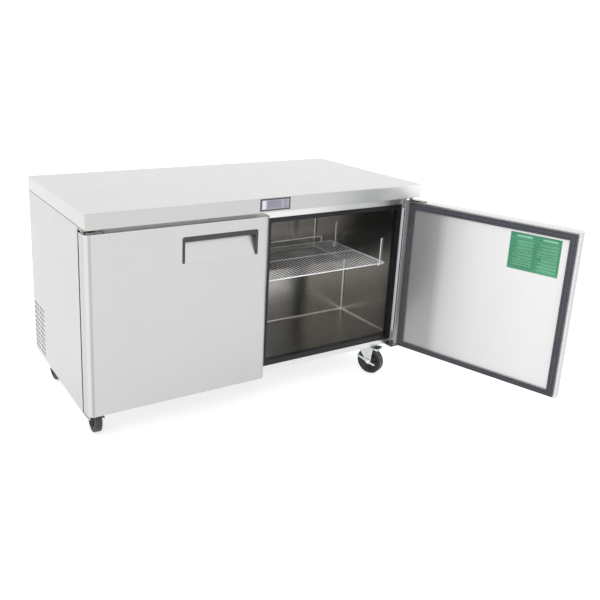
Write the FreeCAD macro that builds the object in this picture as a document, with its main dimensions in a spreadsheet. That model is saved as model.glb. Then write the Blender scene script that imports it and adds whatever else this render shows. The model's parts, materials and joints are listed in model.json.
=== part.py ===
"""Two-door undercounter refrigerator on casters.

Cabinet axes: X across the front, Y from the front of the worktop's nose to the back, Z up from the
floor. frame_x and frame_y move the cabinet's centre line and nose so that the frame's origin is the
bottom centre of the whole object with its right door standing open.
"""
import FreeCAD, Part
import math
import os
import re

import Sketcher
from FreeCAD import Placement, Rotation, Vector

DIMENSIONS = {
    # frame and overall size
    "frame_x": -122.6,
    "frame_y": -44.5,
    "half_width": 765,
    "depth": 762,
    "height": 932,
    "gauge": 1,
    # worktop
    "top_gauge": 1.2,
    "nose_drop": 58,
    "face_y": 87,
    "shadow_gap": 2.5,
    "window_half": 66.5,
    "window_low_z": 883,
    "window_high_z": 927,
    "window_depth": 48,
    "louvre_front_y": 598,
    "louvre_rear_y": 748,
    # cabinet shell
    "skirt_z": 144,
    "pan_z": 150,
    "wall_x": 729,
    "floor_z": 194,
    "ceiling_z": 840,
    "rear_wall_y": 722,
    "step_y": 455,
    "step_z": 460,
    "step_foam": 40,
    # breaker strips and face frame, measured from the centre line and the floor
    "mullion_half": 20,
    "strip_width": 21,
    "stile_x": 741,
    "strip_side": 23,
    "rail_top_z": 826,
    "rail_bottom_z": 169,
    "strip_bottom": 24,
    "strip_back_y": 113,
    # doors, closed, for the right side; the left one is its mirror image
    "door_free_x": 5,
    "door_front_y": 15,
    "door_back_y": 75,
    "door_bottom_z": 155,
    "door_top_z": 853,
    "door_corner": 25,
    "cap_flange": 3,
    "cap_plug": 12,
    "hinge_x": 757,
    "hinge_y": 50,
    "hinge_pin": 4,
    "open_angle": 107.5,
    "gasket_free_x": 13,
    "gasket_hinge_x": 743,
    "gasket_bottom_z": 160,
    "gasket_top_z": 847,
    "gasket_width": 29,
    "gasket_y": 86.7,
    # grip pocket of the right door
    "grip_free_x": 65,
    "grip_hinge_x": 392,
    "grip_bottom_z": 706,
    "grip_top_z": 808,
    "grip_bar": 20,
    "grip_leg": 11,
    "grip_slope": 0.33,
    # shelf
    "shelf_free_x": 16,
    "shelf_wall_x": 720,
    "shelf_front_y": 138,
    "shelf_rear_y": 572,
    "shelf_z": 537,
    "shelf_wire": 2.6,
    "grid_wire": 1.5,
    "stop_wire": 2.2,
    "stop_rise": 27,
    # casters
    "caster_left_x": 690,
    "caster_right_x": 640,
    "caster_front_y": 148,
    "caster_rear_y": 664,
    "caster_trail": 38,
    "wheel_radius": 62.5,
    "wheel_width": 32,
    "axle_radius": 5,
    "fork_gap": 40,
    "fork_gauge": 3,
    "crown_z": 138.7,
    "kingpin_radius": 6,
    "running_gap": 0.05,
}

doc = FreeCAD.newDocument("UndercounterRefrigerator")
sheet = doc.addObject("Spreadsheet::Sheet", "dims")
for row, (alias, value) in enumerate(DIMENSIONS.items(), start=1):
    sheet.set("A%d" % row, alias)
    sheet.set("B%d" % row, str(value))
    sheet.setAlias("B%d" % row, alias)
doc.recompute()

size = {alias: float(sheet.get(alias)) for alias in DIMENSIONS}
ALIAS_WORDS = re.compile(r"\b(" + "|".join(DIMENSIONS) + r")\b")
FRAME = Vector(size["frame_x"], size["frame_y"], 0)
SUB_PARTS = []


# ---------------------------------------------------------------- helpers

def bound(expression):
    """Point every dimension named in an expression at its spreadsheet cell."""
    return ALIAS_WORDS.sub(r"dims.\1", expression)


def sub_part(label, obj):
    obj.Label = label
    SUB_PARTS.append(obj)
    return obj


def block(name, x, y, z, local=False):
    """A box between pairs of expressions, in cabinet axes, or in its own axes when local."""
    box = doc.addObject("Part::Box", name)
    for prop, (low, high) in (("Length", x), ("Width", y), ("Height", z)):
        box.setExpression(prop, bound("(%s) - (%s)" % (high, low)))
    shift_x, shift_y = ("0", "0") if local else ("frame_x", "frame_y")
    box.setExpression("Placement.Base.x", bound("%s + (%s)" % (shift_x, x[0])))
    box.setExpression("Placement.Base.y", bound("%s + (%s)" % (shift_y, y[0])))
    box.setExpression("Placement.Base.z", bound(z[0]))
    return box


def rod(name, radius, length, base, direction, local=False):
    """A cylinder from a base point along a direction; radius and length are expressions."""
    cylinder = doc.addObject("Part::Cylinder", name)
    cylinder.setExpression("Radius", bound(radius))
    cylinder.setExpression("Height", bound(length))
    start = Vector(*base) if local else Vector(*base) + FRAME
    cylinder.Placement = Placement(start, Rotation(Vector(0, 0, 1), Vector(*direction)))
    return cylinder


def cut(name, base, tools):
    tool = tools[0]
    if len(tools) > 1:
        tool = doc.addObject("Part::MultiFuse", name + "_tools")
        tool.Shapes = tools
    result = doc.addObject("Part::Cut", name)
    result.Base = base
    result.Tool = tool
    return result


def fuse(name, pieces):
    result = doc.addObject("Part::MultiFuse", name)
    result.Shapes = pieces
    result.Refine = True
    return result


def group(name, pieces):
    """Separate solids that make one sub-part."""
    result = doc.addObject("Part::Compound", name)
    result.Links = pieces
    return result


def feature(name, shape, placement=None):
    result = doc.addObject("Part::Feature", name)
    result.Shape = shape
    result.Placement = placement or Placement()
    return result


def round_edges(name, base, radius, picks):
    """Fillet the edges of a base object that the test picks."""
    doc.recompute()
    result = doc.addObject("Part::Fillet", name)
    result.Base = base
    edges = enumerate(base.Shape.Edges, start=1)
    result.Edges = [(number, radius, radius) for number, edge in edges if picks(edge)]
    return result


def is_vertical(edge):
    first, last = edge.Vertexes[0].Point, edge.Vertexes[-1].Point
    return abs(first.x - last.x) + abs(first.y - last.y) < 1e-6 and abs(first.z - last.z) > 1e-6


def plane_of(body, role):
    return next(item for item in body.Origin.OriginFeatures if item.Role == role)


def polygon_sketch(body, name, role, corners):
    """A closed polygon whose corners are pairs of expressions, on one of the body's planes."""
    sketch = body.newObject("Sketcher::SketchObject", name)
    sketch.AttachmentSupport = [(plane_of(body, role), "")]
    sketch.MapMode = "FlatFace"
    count = len(corners)
    points = [Vector(value_of(across), value_of(up), 0) for across, up in corners]
    for number in range(count):
        line = Part.LineSegment(points[number], points[(number + 1) % count])
        sketch.addGeometry(line, False)
    for number in range(count):
        joint = Sketcher.Constraint("Coincident", number, 2, (number + 1) % count, 1)
        sketch.addConstraint(joint)
    for number, (across, up) in enumerate(corners):
        for kind, text in (("DistanceX", across), ("DistanceY", up)):
            held = Sketcher.Constraint(kind, -1, 1, number, 1, value_of(text))
            sketch.setExpression("Constraints[%d]" % sketch.addConstraint(held), bound(text))
    return sketch


def circle_sketch(body, name, role, centre, radius):
    sketch = body.newObject("Sketcher::SketchObject", name)
    sketch.AttachmentSupport = [(plane_of(body, role), "")]
    sketch.MapMode = "FlatFace"
    middle = Vector(value_of(centre[0]), value_of(centre[1]), 0)
    sketch.addGeometry(Part.Circle(middle, Vector(0, 0, 1), value_of(radius)), False)
    for kind, text in (("DistanceX", centre[0]), ("DistanceY", centre[1])):
        held = Sketcher.Constraint(kind, -1, 1, 0, 3, value_of(text))
        sketch.setExpression("Constraints[%d]" % sketch.addConstraint(held), bound(text))
    held = Sketcher.Constraint("Radius", 0, value_of(radius))
    sketch.setExpression("Constraints[%d]" % sketch.addConstraint(held), bound(radius))
    return sketch


def value_of(text):
    """Value of a sum of products of numbers and dimension names, such as 'depth - 2*gauge'."""
    total = 0.0
    for sign, term in re.findall(r"([+-]?)\s*([\w.]+(?:\s*[*/]\s*[\w.]+)*)", text):
        product = 1.0
        for operator, factor in re.findall(r"([*/]?)\s*([\w.]+)", term):
            number = size[factor] if factor in size else float(factor)
            product = product / number if operator == "/" else product * number
        total += -product if sign == "-" else product
    return total


def pad(body, name, sketch, length, both_ways=False):
    result = body.newObject("PartDesign::Pad", name)
    result.Profile = sketch
    result.setExpression("Length", bound(length))
    result.Midplane = both_ways
    return result


def pocket(body, name, sketch, length, both_ways=False, reverse=False):
    result = body.newObject("PartDesign::Pocket", name)
    result.Profile = sketch
    result.setExpression("Length", bound(length))
    result.Midplane = both_ways
    result.Reversed = reverse
    return result


def revolve(body, name, sketch, axis):
    result = body.newObject("PartDesign::Revolution", name)
    result.Profile = sketch
    result.ReferenceAxis = (sketch, [axis])
    result.Angle = 360
    return result


def bent_path(points, bend):
    """Straight runs joined by tangent arcs of one bend radius."""
    edges = []
    start = points[0]
    for before, corner, after in zip(points, points[1:], points[2:]):
        inward = (before - corner).normalize()
        outward = (after - corner).normalize()
        half_turn = inward.getAngle(outward) / 2
        setback = bend / math.tan(half_turn)
        first = corner + inward * setback
        last = corner + outward * setback
        centre = corner + (inward + outward).normalize() * (bend / math.sin(half_turn))
        middle = centre + (corner - centre).normalize() * bend
        edges.append(Part.LineSegment(start, first).toShape())
        edges.append(Part.Arc(first, middle, last).toShape())
        start = last
    edges.append(Part.LineSegment(start, points[-1]).toShape())
    return Part.Wire(edges)


def wire_rod(points, radius, bend):
    """A round rod or tube that follows a bent path."""
    points = [Vector(*point) for point in points]
    direction = points[1] - points[0]
    section = Part.Wire(Part.makeCircle(radius, points[0], direction))
    return bent_path(points, bend).makePipeShell([section], True, True)


def mirrored(pair, side):
    """Put a pair of X expressions on the right (side 1) or the left (side -1) of the centre."""
    low, high = pair
    return (low, high) if side > 0 else ("-(%s)" % high, "-(%s)" % low)


SIDES = (("right", 1), ("left", -1))


# ---------------------------------------------------------------- worktop and shell

def build_worktop():
    nose = "height - nose_drop"
    outside = block("worktop_block", ("-half_width", "half_width"), ("0", "depth"), (nose, "height"))
    rounded = round_edges("worktop_rounded", outside, 3, is_front_top_edge)
    inside = block(
        "worktop_inside", ("-half_width + top_gauge", "half_width - top_gauge"),
        ("top_gauge", "depth - top_gauge"), (nose + " - 1", "height - top_gauge"))
    window = block("controller_window", ("-window_half", "window_half"), ("-1", "top_gauge + 1"),
                   ("window_low_z", "window_high_z"))
    pan = cut("worktop_pan", rounded, [inside, window])
    soffit = block(
        "nose_soffit", ("-half_width + top_gauge", "half_width - top_gauge"),
        ("top_gauge", "face_y"), (nose, nose + " + top_gauge"))
    sub_part("worktop", fuse("worktop_shell", [pan, soffit]))

    bottom = nose + " + 2*top_gauge"
    inner_x = "half_width - 2*top_gauge"
    core_top = "height - top_gauge"
    core = [
        block("core_rear", ("-half_width + 2*top_gauge", inner_x),
              ("window_depth", "depth - 2*top_gauge"), (bottom, core_top)),
        block("core_above", ("-window_half", "window_half"), ("top_gauge", "window_depth"),
              ("window_high_z + 0.6", core_top)),
        block("core_below", ("-window_half", "window_half"), ("top_gauge", "window_depth"),
              (bottom, "window_low_z - 0.6")),
    ]
    for side_name, side in SIDES:
        across = mirrored(("window_half", inner_x), side)
        core.append(block("core_" + side_name, across, ("top_gauge", "window_depth"),
                          (bottom, core_top)))
    sub_part("worktop_core", group("worktop_core_blocks", core))


def is_front_top_edge(edge):
    points = [vertex.Point for vertex in edge.Vertexes]
    at_front = all(abs(point.y - size["frame_y"]) < 1e-6 for point in points)
    return at_front and all(abs(point.z - size["height"]) < 1e-6 for point in points)


LOUVRE_COUNT = 10
LOUVRE_PITCH = 22
LOUVRE_LOW_Z = 168


def louvre_tools(name, make_slot):
    return [make_slot("%s_slot_%d" % (name, row), LOUVRE_LOW_Z + row * LOUVRE_PITCH)
            for row in range(LOUVRE_COUNT)]


def build_side_panels():
    for side_name, side in SIDES:
        across = mirrored(("half_width - gauge", "half_width"), side)
        panel = block(side_name + "_panel_sheet", across, ("face_y", "depth"),
                      ("skirt_z", "height - nose_drop - shadow_gap"))
        past = mirrored(("half_width - 5", "half_width + 5"), side)

        def slot(name, low_z):
            return block(name, past, ("louvre_front_y", "louvre_rear_y"), (str(low_z), str(low_z + 9)))

        blades = []
        for row in range(LOUVRE_COUNT):
            inward = mirrored(("half_width - 9", "half_width - gauge"), side)
            low_z = LOUVRE_LOW_Z + row * LOUVRE_PITCH
            blades.append(block("%s_blade_%d" % (side_name, row), inward,
                                ("louvre_front_y", "louvre_rear_y"), (str(low_z + 9), str(low_z + 10))))
        slotted = cut(side_name + "_panel_slotted", panel, louvre_tools(side_name, slot))
        sub_part(side_name + "_side_panel", fuse(side_name + "_panel", [slotted] + blades))


GRILLE_SCREWS = [(x, z) for x in (-740, -330, 330, 740) for z in (164, 406)]
GLAND_X = 700
GLAND_Z = 180


def build_back():
    inner = ("-half_width + gauge", "half_width - gauge")
    upper = block("back_sheet", inner, ("depth - gauge", "depth"),
                  ("step_z - gauge - step_foam", "height - nose_drop - shadow_gap"))
    sub_part("back_panel", upper)
    grille = block("grille_sheet", inner, ("depth - gauge", "depth"),
                   ("pan_z", "step_z - gauge - step_foam"))
    slots = []
    for bank, start in (("a", -640), ("b", -300), ("c", 40), ("d", 380)):
        for row in range(LOUVRE_COUNT - 1):
            low_z = LOUVRE_LOW_Z + 6 + row * LOUVRE_PITCH
            slots.append(block("grille_slot_%s_%d" % (bank, row), (str(start), str(start + 260)),
                               ("depth - 5", "depth + 5"), (str(low_z), str(low_z + 7))))
    holes = [rod("grille_hole_%d" % number, "1.9", "10", (x, 767, z), (0, -1, 0))
             for number, (x, z) in enumerate(GRILLE_SCREWS)]
    gland_hole = rod("gland_hole", "11.1", "10", (GLAND_X, 767, GLAND_Z), (0, -1, 0))
    sub_part("rear_grille", cut("rear_grille_slotted", grille, slots + holes + [gland_hole]))


def build_base_pan():
    pan = block("pan_sheet", ("-half_width + gauge", "half_width - gauge"),
                ("face_y + gauge", "depth - gauge"), ("pan_z", "pan_z + gauge"))
    holes = [rod("pan_hole_%d" % number, "4.2", "10", (x, y, 145), (0, 0, 1))
             for number, (x, y) in enumerate(caster_bolt_centres())]
    sub_part("base_pan", cut("base_pan_drilled", pan, holes))


def build_face_frame():
    sheet_block = block("frame_sheet", ("-half_width + gauge", "half_width - gauge"),
                        ("face_y", "face_y + gauge"), ("skirt_z", "height - nose_drop"))
    windows = [block("frame_window_" + side_name, mirrored(("mullion_half", "stile_x"), side),
                     ("face_y - 2", "face_y + 4"), ("rail_bottom_z", "rail_top_z"))
               for side_name, side in SIDES]
    sub_part("face_frame", cut("face_frame_cut", sheet_block, windows))


def build_breaker_strips():
    strips = []
    deep = ("face_y", "strip_back_y")
    upright = ("rail_bottom_z + strip_bottom", "rail_top_z - strip_width")
    for side_name, side in SIDES:
        full = mirrored(("mullion_half", "stile_x"), side)
        lower = ("rail_bottom_z", "rail_bottom_z + strip_bottom")
        upper = ("rail_top_z - strip_width", "rail_top_z")
        inner = mirrored(("mullion_half", "mullion_half + strip_width"), side)
        outer = mirrored(("stile_x - strip_side", "stile_x"), side)
        strips.append(block(side_name + "_strip_bottom", full, deep, lower))
        strips.append(block(side_name + "_strip_top", full, deep, upper))
        strips.append(block(side_name + "_strip_inner", inner, deep, upright))
        strips.append(block(side_name + "_strip_outer", outer, deep, upright))
    sub_part("breaker_strips", group("breaker_strip_set", strips))


def build_foam():
    body_x = "half_width - gauge"
    liner_x = "wall_x + gauge"
    pan_top = "pan_z + gauge"
    under_floor = "floor_z - gauge"
    over_ceiling = "ceiling_z + gauge"
    cabinet_top = "height - nose_drop"
    step_back = "step_y + gauge + step_foam"
    full = ("-half_width + gauge", body_x)
    between = ("-wall_x - gauge", liner_x)
    front = ("face_y + gauge", "strip_back_y")
    blocks = [
        block("foam_floor", full, ("strip_back_y", step_back), (pan_top, under_floor)),
        block("foam_ceiling", full, ("strip_back_y", "depth - gauge"), (over_ceiling, cabinet_top)),
        block("foam_lower_back", between, ("step_y + gauge", step_back),
              (under_floor, "step_z - gauge")),
        block("foam_step", full, (step_back, "depth - gauge"),
              ("step_z - gauge - step_foam", "step_z - gauge")),
        block("foam_upper_back", between, ("rear_wall_y + gauge", "depth - gauge"),
              ("step_z - gauge", over_ceiling)),
        block("foam_front_top", full, front, ("rail_top_z", cabinet_top)),
        block("foam_front_bottom", full, front, (pan_top, "rail_bottom_z")),
        block("foam_mullion", ("-mullion_half", "mullion_half"), front,
              ("rail_bottom_z", "rail_top_z")),
        block("foam_mullion_rear", ("-mullion_half - strip_width", "mullion_half + strip_width"),
              ("strip_back_y", "strip_back_y + 14"), ("floor_z", "ceiling_z")),
    ]
    for side_name, side in SIDES:
        wall = mirrored((liner_x, body_x), side)
        blocks.append(block("foam_lower_" + side_name, wall, ("strip_back_y", step_back),
                            (under_floor, "step_z - gauge")))
        blocks.append(block("foam_upper_" + side_name, wall, ("strip_back_y", "depth - gauge"),
                            ("step_z - gauge", over_ceiling)))
        blocks.append(block("foam_stile_" + side_name, mirrored(("stile_x", body_x), side), front,
                            ("rail_bottom_z", "rail_top_z")))
    sub_part("cabinet_foam", group("cabinet_foam_blocks", blocks))


def build_liner():
    wide = ("-wall_x - gauge", "wall_x + gauge")
    inside = ("-wall_x", "wall_x")
    sheets = [
        block("liner_floor", wide, ("strip_back_y", "step_y + gauge"),
              ("floor_z - gauge", "floor_z")),
        block("liner_ceiling", wide, ("strip_back_y", "rear_wall_y + gauge"),
              ("ceiling_z", "ceiling_z + gauge")),
        block("liner_upper_back", inside, ("rear_wall_y", "rear_wall_y + gauge"),
              ("step_z", "ceiling_z")),
        block("liner_step", inside, ("step_y", "rear_wall_y + gauge"),
              ("step_z - gauge", "step_z")),
        block("liner_lower_back", inside, ("step_y", "step_y + gauge"),
              ("floor_z", "step_z - gauge")),
        block("liner_mullion", ("-mullion_half - strip_width", "mullion_half + strip_width"),
              ("strip_back_y + 14", "strip_back_y + 14 + gauge"), ("floor_z", "ceiling_z")),
    ]
    for side_name, side in SIDES:
        wall = mirrored(("wall_x", "wall_x + gauge"), side)
        sheets.append(block("liner_lower_" + side_name, wall, ("strip_back_y", "step_y + gauge"),
                            ("floor_z", "step_z - gauge")))
        sheets.append(block("liner_upper_" + side_name, wall,
                            ("strip_back_y", "rear_wall_y + gauge"),
                            ("step_z - gauge", "ceiling_z")))
    sub_part("cabinet_liner", group("cabinet_liner_sheets", sheets))


# ---------------------------------------------------------------- shelves

SHELF_POST_Y = (188, 541)
GRID_WIRES = 38
SHELF_CORNER = 14
CROSS_BAR_SHARE = 0.55


def shelf_shape():
    """One welded wire shelf, in the axes of the right compartment, with its rear stop on top."""
    frame_radius, grid_radius = size["shelf_wire"], size["grid_wire"]
    bar_radius = frame_radius - 0.4
    frame_z = size["shelf_z"] - frame_radius
    x0, x1 = size["shelf_free_x"] + frame_radius, size["shelf_wall_x"] - frame_radius
    y0, y1 = size["shelf_front_y"] + frame_radius, size["shelf_rear_y"] - frame_radius
    middle = (x0 + x1) / 2
    loop_points = [(middle, y0, frame_z), (x1, y0, frame_z), (x1, y1, frame_z), (x0, y1, frame_z),
                   (x0, y0, frame_z), (middle, y0, frame_z)]
    pieces = [wire_rod(loop_points, frame_radius, SHELF_CORNER)]
    bar_start = Vector(x0, y0 + (y1 - y0) * CROSS_BAR_SHARE, frame_z - 0.6)
    pieces.append(Part.makeCylinder(bar_radius, x1 - x0, bar_start, Vector(1, 0, 0)))
    step = (x1 - x0) / (GRID_WIRES + 1)
    grid_z = frame_z + frame_radius - grid_radius - 0.1
    for number in range(1, GRID_WIRES + 1):
        start = Vector(x0 + step * number, y0, grid_z)
        pieces.append(Part.makeCylinder(grid_radius, y1 - y0, start, Vector(0, 1, 0)))
    grid = pieces[0].multiFuse(pieces[1:]).removeSplitter()

    low, high = size["shelf_z"], size["shelf_z"] + size["stop_rise"]
    near, far = x0 + 26, x1 - 60
    stop_points = [(near, y1, low), (near, y1, high), (far, y1, high), (far, y1, low)]
    stop = wire_rod(stop_points, size["stop_wire"], 5)
    return Part.makeCompound([grid, stop])


def build_shelves():
    right = shelf_shape()
    left = right.mirror(Vector(0, 0, 0), Vector(1, 0, 0))
    sub_part("right_shelf", feature("right_wire_shelf", right, Placement(FRAME, Rotation())))
    sub_part("left_shelf", feature("left_wire_shelf", left, Placement(FRAME, Rotation())))


def build_shelf_supports():
    posts = []
    for y in SHELF_POST_Y:
        low_z = "floor_z" if y < size["step_y"] else "step_z"
        posts.append(block("post_%d" % y, ("-7", "7"), (str(y - 7), str(y + 7)),
                           (low_z, "ceiling_z")))
    sub_part("shelf_posts", group("shelf_post_pair", posts))

    wire = 2.5
    hang_z = size["height"] - 293
    cradle_z = size["shelf_z"] - 2 * size["shelf_wire"] - 0.3
    foot_z = cradle_z - 22
    hooks = []
    for carrier_x, toward in ((size["wall_x"], -1), (7, 1)):
        leg_x = carrier_x + toward * 4
        foot_x = carrier_x + toward * 13
        for y in SHELF_POST_Y:
            points = [(carrier_x, y, hang_z), (leg_x, y, hang_z), (leg_x, y, foot_z),
                      (foot_x, y, foot_z), (foot_x, y, cradle_z)]
            hooks.append(wire_rod(points, wire, 3))
    left_hooks = [hook.mirror(Vector(0, 0, 0), Vector(1, 0, 0)) for hook in hooks]
    shape = Part.makeCompound(hooks + left_hooks)
    sub_part("shelf_hooks", feature("shelf_hook_set", shape, Placement(FRAME, Rotation())))


# ---------------------------------------------------------------- refrigeration

EVAPORATOR = {"x": 190, "front": 596, "low": 600, "high": 800}
EVAPORATOR_COIL = {"x": 165, "front": 662, "rear": 714, "low": 614, "high": 786}
EVAPORATOR_FAN_Z = 700
CONDENSER = {"outer_x": -716, "coil_x": -664, "fan_x": -606, "front": 516, "rear": 744,
             "low": 176, "high": 396}
CONDENSER_FAN = Vector(-592, 630, 285)


def fan_shape(radius, hub_radius, width, blades, pitch):
    """A fan about the Z axis: a hub with flat raked blades and a bore for the motor's shaft."""
    pieces = [Part.makeCylinder(hub_radius, width)]
    for number in range(blades):
        blade = Part.makeBox(radius - hub_radius / 2, width * 1.9, 1.6,
                             Vector(hub_radius / 2, -width * 0.95, -0.8))
        blade.rotate(Vector(0, 0, 0), Vector(1, 0, 0), pitch)
        blade.translate(Vector(0, 0, width / 2))
        blade.rotate(Vector(0, 0, 0), Vector(0, 0, 1), 360 * number / blades)
        pieces.append(blade)
    rotor = pieces[0].multiFuse(pieces[1:])
    limit = Part.makeCylinder(radius, width * 4, Vector(0, 0, -width * 2))
    return rotor.common(limit).cut(Part.makeCylinder(3.05, width, Vector(0, 0, 3)))


def build_evaporator():
    half = EVAPORATOR["x"]
    front = EVAPORATOR["front"]
    low, high = EVAPORATOR["low"], EVAPORATOR["high"]
    shell = block("evaporator_box", (str(-half), str(half)), (str(front), "rear_wall_y"),
                  (str(low), str(high)))
    inside = block("evaporator_inside", (str(1 - half), str(half - 1)),
                   (str(front + 1), "rear_wall_y + 1"), (str(low + 1), str(high - 1)))
    mouth = rod("evaporator_mouth", "72", "10", (0, front - 4, EVAPORATOR_FAN_Z), (0, 1, 0))
    tools = [inside, mouth]
    for side_name, side in SIDES:
        for row in range(6):
            low_z = low + 40 + row * 22
            tools.append(block("outlet_%s_%d" % (side_name, row),
                               mirrored(("100", "170"), side), (str(front - 4), str(front + 4)),
                               (str(low_z), str(low_z + 9))))
    sub_part("evaporator_cover", cut("evaporator_shell", shell, tools))

    coil = EVAPORATOR_COIL
    fins = block("evaporator_fins", (str(-coil["x"]), str(coil["x"])),
                 (str(coil["front"]), str(coil["rear"])), (str(coil["low"]), str(coil["high"])))
    bends = []
    for number in range(5):
        bend_z = coil["low"] + 18 + 34 * number
        for side_name, side in SIDES:
            bends.append(rod("evaporator_bend_%s_%d" % (side_name, number), "5", "14",
                             (coil["x"] * side, (coil["front"] + coil["rear"]) / 2, bend_z),
                             (side, 0, 0)))
    sub_part("evaporator_coil", fuse("evaporator_coil_block", [fins] + bends))

    rotor = fan_shape(66, 20, 16, 5, 32)
    place = Placement(Vector(0, 606, EVAPORATOR_FAN_Z) + FRAME,
                      Rotation(Vector(0, 0, 1), Vector(0, 1, 0)))
    sub_part("evaporator_fan", feature("evaporator_rotor", rotor, place))


def motor_shape():
    """A shaded-pole fan motor about the Z axis, shaft towards minus Z, on a cross bracket."""
    can = Part.makeCylinder(26, 24)
    boss = Part.makeCylinder(12, 4, Vector(0, 0, -4))
    shaft = Part.makeCylinder(3, 17, Vector(0, 0, -17))
    return can.fuse(boss).fuse(shaft)


def build_condenser():
    front, rear = CONDENSER["front"], CONDENSER["rear"]
    low, high = CONDENSER["low"], CONDENSER["high"]
    outer_x, coil_x, fan_x = CONDENSER["outer_x"], CONDENSER["coil_x"], CONDENSER["fan_x"]
    across, tall = (str(front), str(rear)), (str(low), str(high))
    coil = block("condenser_fins", (str(outer_x), str(coil_x)), across, tall)
    bends = [rod("condenser_bend_%d" % number, "4.5", "10",
                 ((outer_x + coil_x) / 2, rear, low + 20 + 36 * number), (0, 1, 0))
             for number in range(6)]
    sub_part("condenser_coil", fuse("condenser_block", [coil] + bends))

    outer = block("shroud_box", (str(coil_x), str(fan_x)), across, tall)
    inner = block("shroud_inside", (str(coil_x), str(fan_x - 2)),
                  (str(front + 2), str(rear - 2)), (str(low + 2), str(high - 2)))
    mouth = rod("shroud_mouth", "100", "20", (fan_x - 10, CONDENSER_FAN.y, CONDENSER_FAN.z),
                (1, 0, 0))
    sub_part("condenser_shroud", cut("condenser_shroud_shell", outer, [inner, mouth]))

    rotor = fan_shape(94, 24, 18, 5, 30)
    place = Placement(CONDENSER_FAN + Vector(-12, 0, 0) + FRAME,
                      Rotation(Vector(0, 0, 1), Vector(1, 0, 0)))
    sub_part("condenser_fan", feature("condenser_rotor", rotor, place))


def build_fan_motors():
    evaporator = motor_shape()
    evaporator.rotate(Vector(0, 0, 0), Vector(1, 0, 0), -90)
    evaporator.translate(Vector(0, 630, EVAPORATOR_FAN_Z))
    condenser = motor_shape()
    condenser.rotate(Vector(0, 0, 0), Vector(0, 1, 0), 90)
    condenser.translate(CONDENSER_FAN + Vector(14, 0, 0))
    foot = Part.makeBox(20, 30, CONDENSER_FAN.z - 26 - size["pan_z"] - size["gauge"] + 4,
                        Vector(CONDENSER_FAN.x + 16, CONDENSER_FAN.y - 15,
                               size["pan_z"] + size["gauge"]))
    strap = Part.makeBox(60, 4, 16, Vector(-30, 652, EVAPORATOR_FAN_Z - 8))
    motors = Part.makeCompound([evaporator.fuse(strap), condenser.fuse(foot)])
    sub_part("fan_motors", feature("fan_motor_pair", motors, Placement(FRAME, Rotation())))


COMPRESSOR = Vector(-380, 630, 151)


def build_compressor():
    body = doc.addObject("PartDesign::Body", "compressor_body")
    outline = [("0", "14"), ("70", "14"), ("88", "34"), ("88", "104"), ("93", "106"), ("93", "112"),
               ("88", "114"), ("86", "160"), ("62", "190"), ("0", "198")]
    sketch = polygon_sketch(body, "compressor_outline", "XZ_Plane", outline)
    revolve(body, "compressor_shell", sketch, "V_Axis")
    foot = [("-100", "-70"), ("100", "-70"), ("100", "70"), ("-100", "70")]
    pad(body, "compressor_foot", polygon_sketch(body, "foot_outline", "XY_Plane", foot), "15")
    body.Placement = Placement(COMPRESSOR + FRAME, Rotation())
    sub_part("compressor", body)


def build_machine_fittings():
    lines = [
        [(-380, 630, 349), (-380, 630, 378), (-470, 560, 402), (-690, 560, 409), (-690, 560, 396)],
        [(-292.5, 630, 300), (-260, 630, 300), (-120, 742, 300), (-120, 742, 660),
         (-120, 714, 660)],
        [(-690, 620, 396), (-690, 620, 409), (-150, 742, 409), (-150, 742, 690), (-150, 714, 690)],
    ]
    tubes = [wire_rod(lines[0], 4, 5), wire_rod(lines[1], 5, 12), wire_rod(lines[2], 3, 5)]
    sub_part("refrigerant_lines",
             feature("refrigerant_tubes", Part.makeCompound(tubes), Placement(FRAME, Rotation())))

    outer = block("tray_block", ("120", "420"), ("530", "730"), ("pan_z + gauge", "195"))
    inner = block("tray_inside", ("122", "418"), ("532", "728"), ("pan_z + gauge + 2", "196"))
    sub_part("drain_pan", cut("drain_tray", outer, [inner]))

    inner_face = size["depth"] - size["gauge"]
    flange = rod("gland_flange", "16", "5", (GLAND_X, inner_face, GLAND_Z), (0, -1, 0))
    nose = rod("gland_body", "11", "24", (GLAND_X, inner_face + 1.5, GLAND_Z), (0, -1, 0))
    bore = rod("gland_bore", "5", "60", (GLAND_X, 780, GLAND_Z), (0, -1, 0))
    gland = cut("gland_bored", fuse("gland_solid", [flange, nose]), [bore])
    sub_part("cable_gland", gland)


# ---------------------------------------------------------------- controller

KEY_X = 47
KEY_SIZE = (12, 14)
KEY_Z = {"up_key": 915, "down_key": 895}


def build_controller():
    outer = block("bezel_block", ("-69", "69"), ("-1.6", "0"), ("880.4", "929.4"))
    body = block("bezel_body", ("-66", "66"), ("0", "46"), ("883.5", "926.5"))
    window = block("bezel_window", ("-64", "64"), ("-3", "8"), ("885.4", "924.4"))
    key_room = [block("key_room_" + name, (str(KEY_X - 7), str(KEY_X + 7)), ("-3", "14"),
                      (str(z - 8), str(z + 8))) for name, z in KEY_Z.items()]
    solid = fuse("bezel_solid", [outer, body])
    sub_part("controller_bezel", cut("controller_frame", solid, [window] + key_room))

    plate = block("face_plate", ("-63.8", "63.8"), ("-0.6", "7.9"), ("885.6", "924.2"))
    openings = [block("key_opening_" + name, (str(KEY_X - 6.3), str(KEY_X + 6.3)), ("-3", "9"),
                      (str(z - 7.3), str(z + 7.3))) for name, z in KEY_Z.items()]
    sub_part("controller_face", cut("controller_plate", plate, openings))

    for name, z in KEY_Z.items():
        width, tall = KEY_SIZE
        key = block(name + "_block", (str(KEY_X - width / 2), str(KEY_X + width / 2)),
                    ("-1.3", "10"), (str(z - tall / 2), str(z + tall / 2)))
        sub_part(name, round_edges(name + "_rounded", key, 0.6, is_key_edge))


def is_key_edge(edge):
    return all(abs(vertex.Point.y - size["frame_y"] + 1.3) < 1e-6 for vertex in edge.Vertexes)


# ---------------------------------------------------------------- hinges and fasteners

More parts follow.
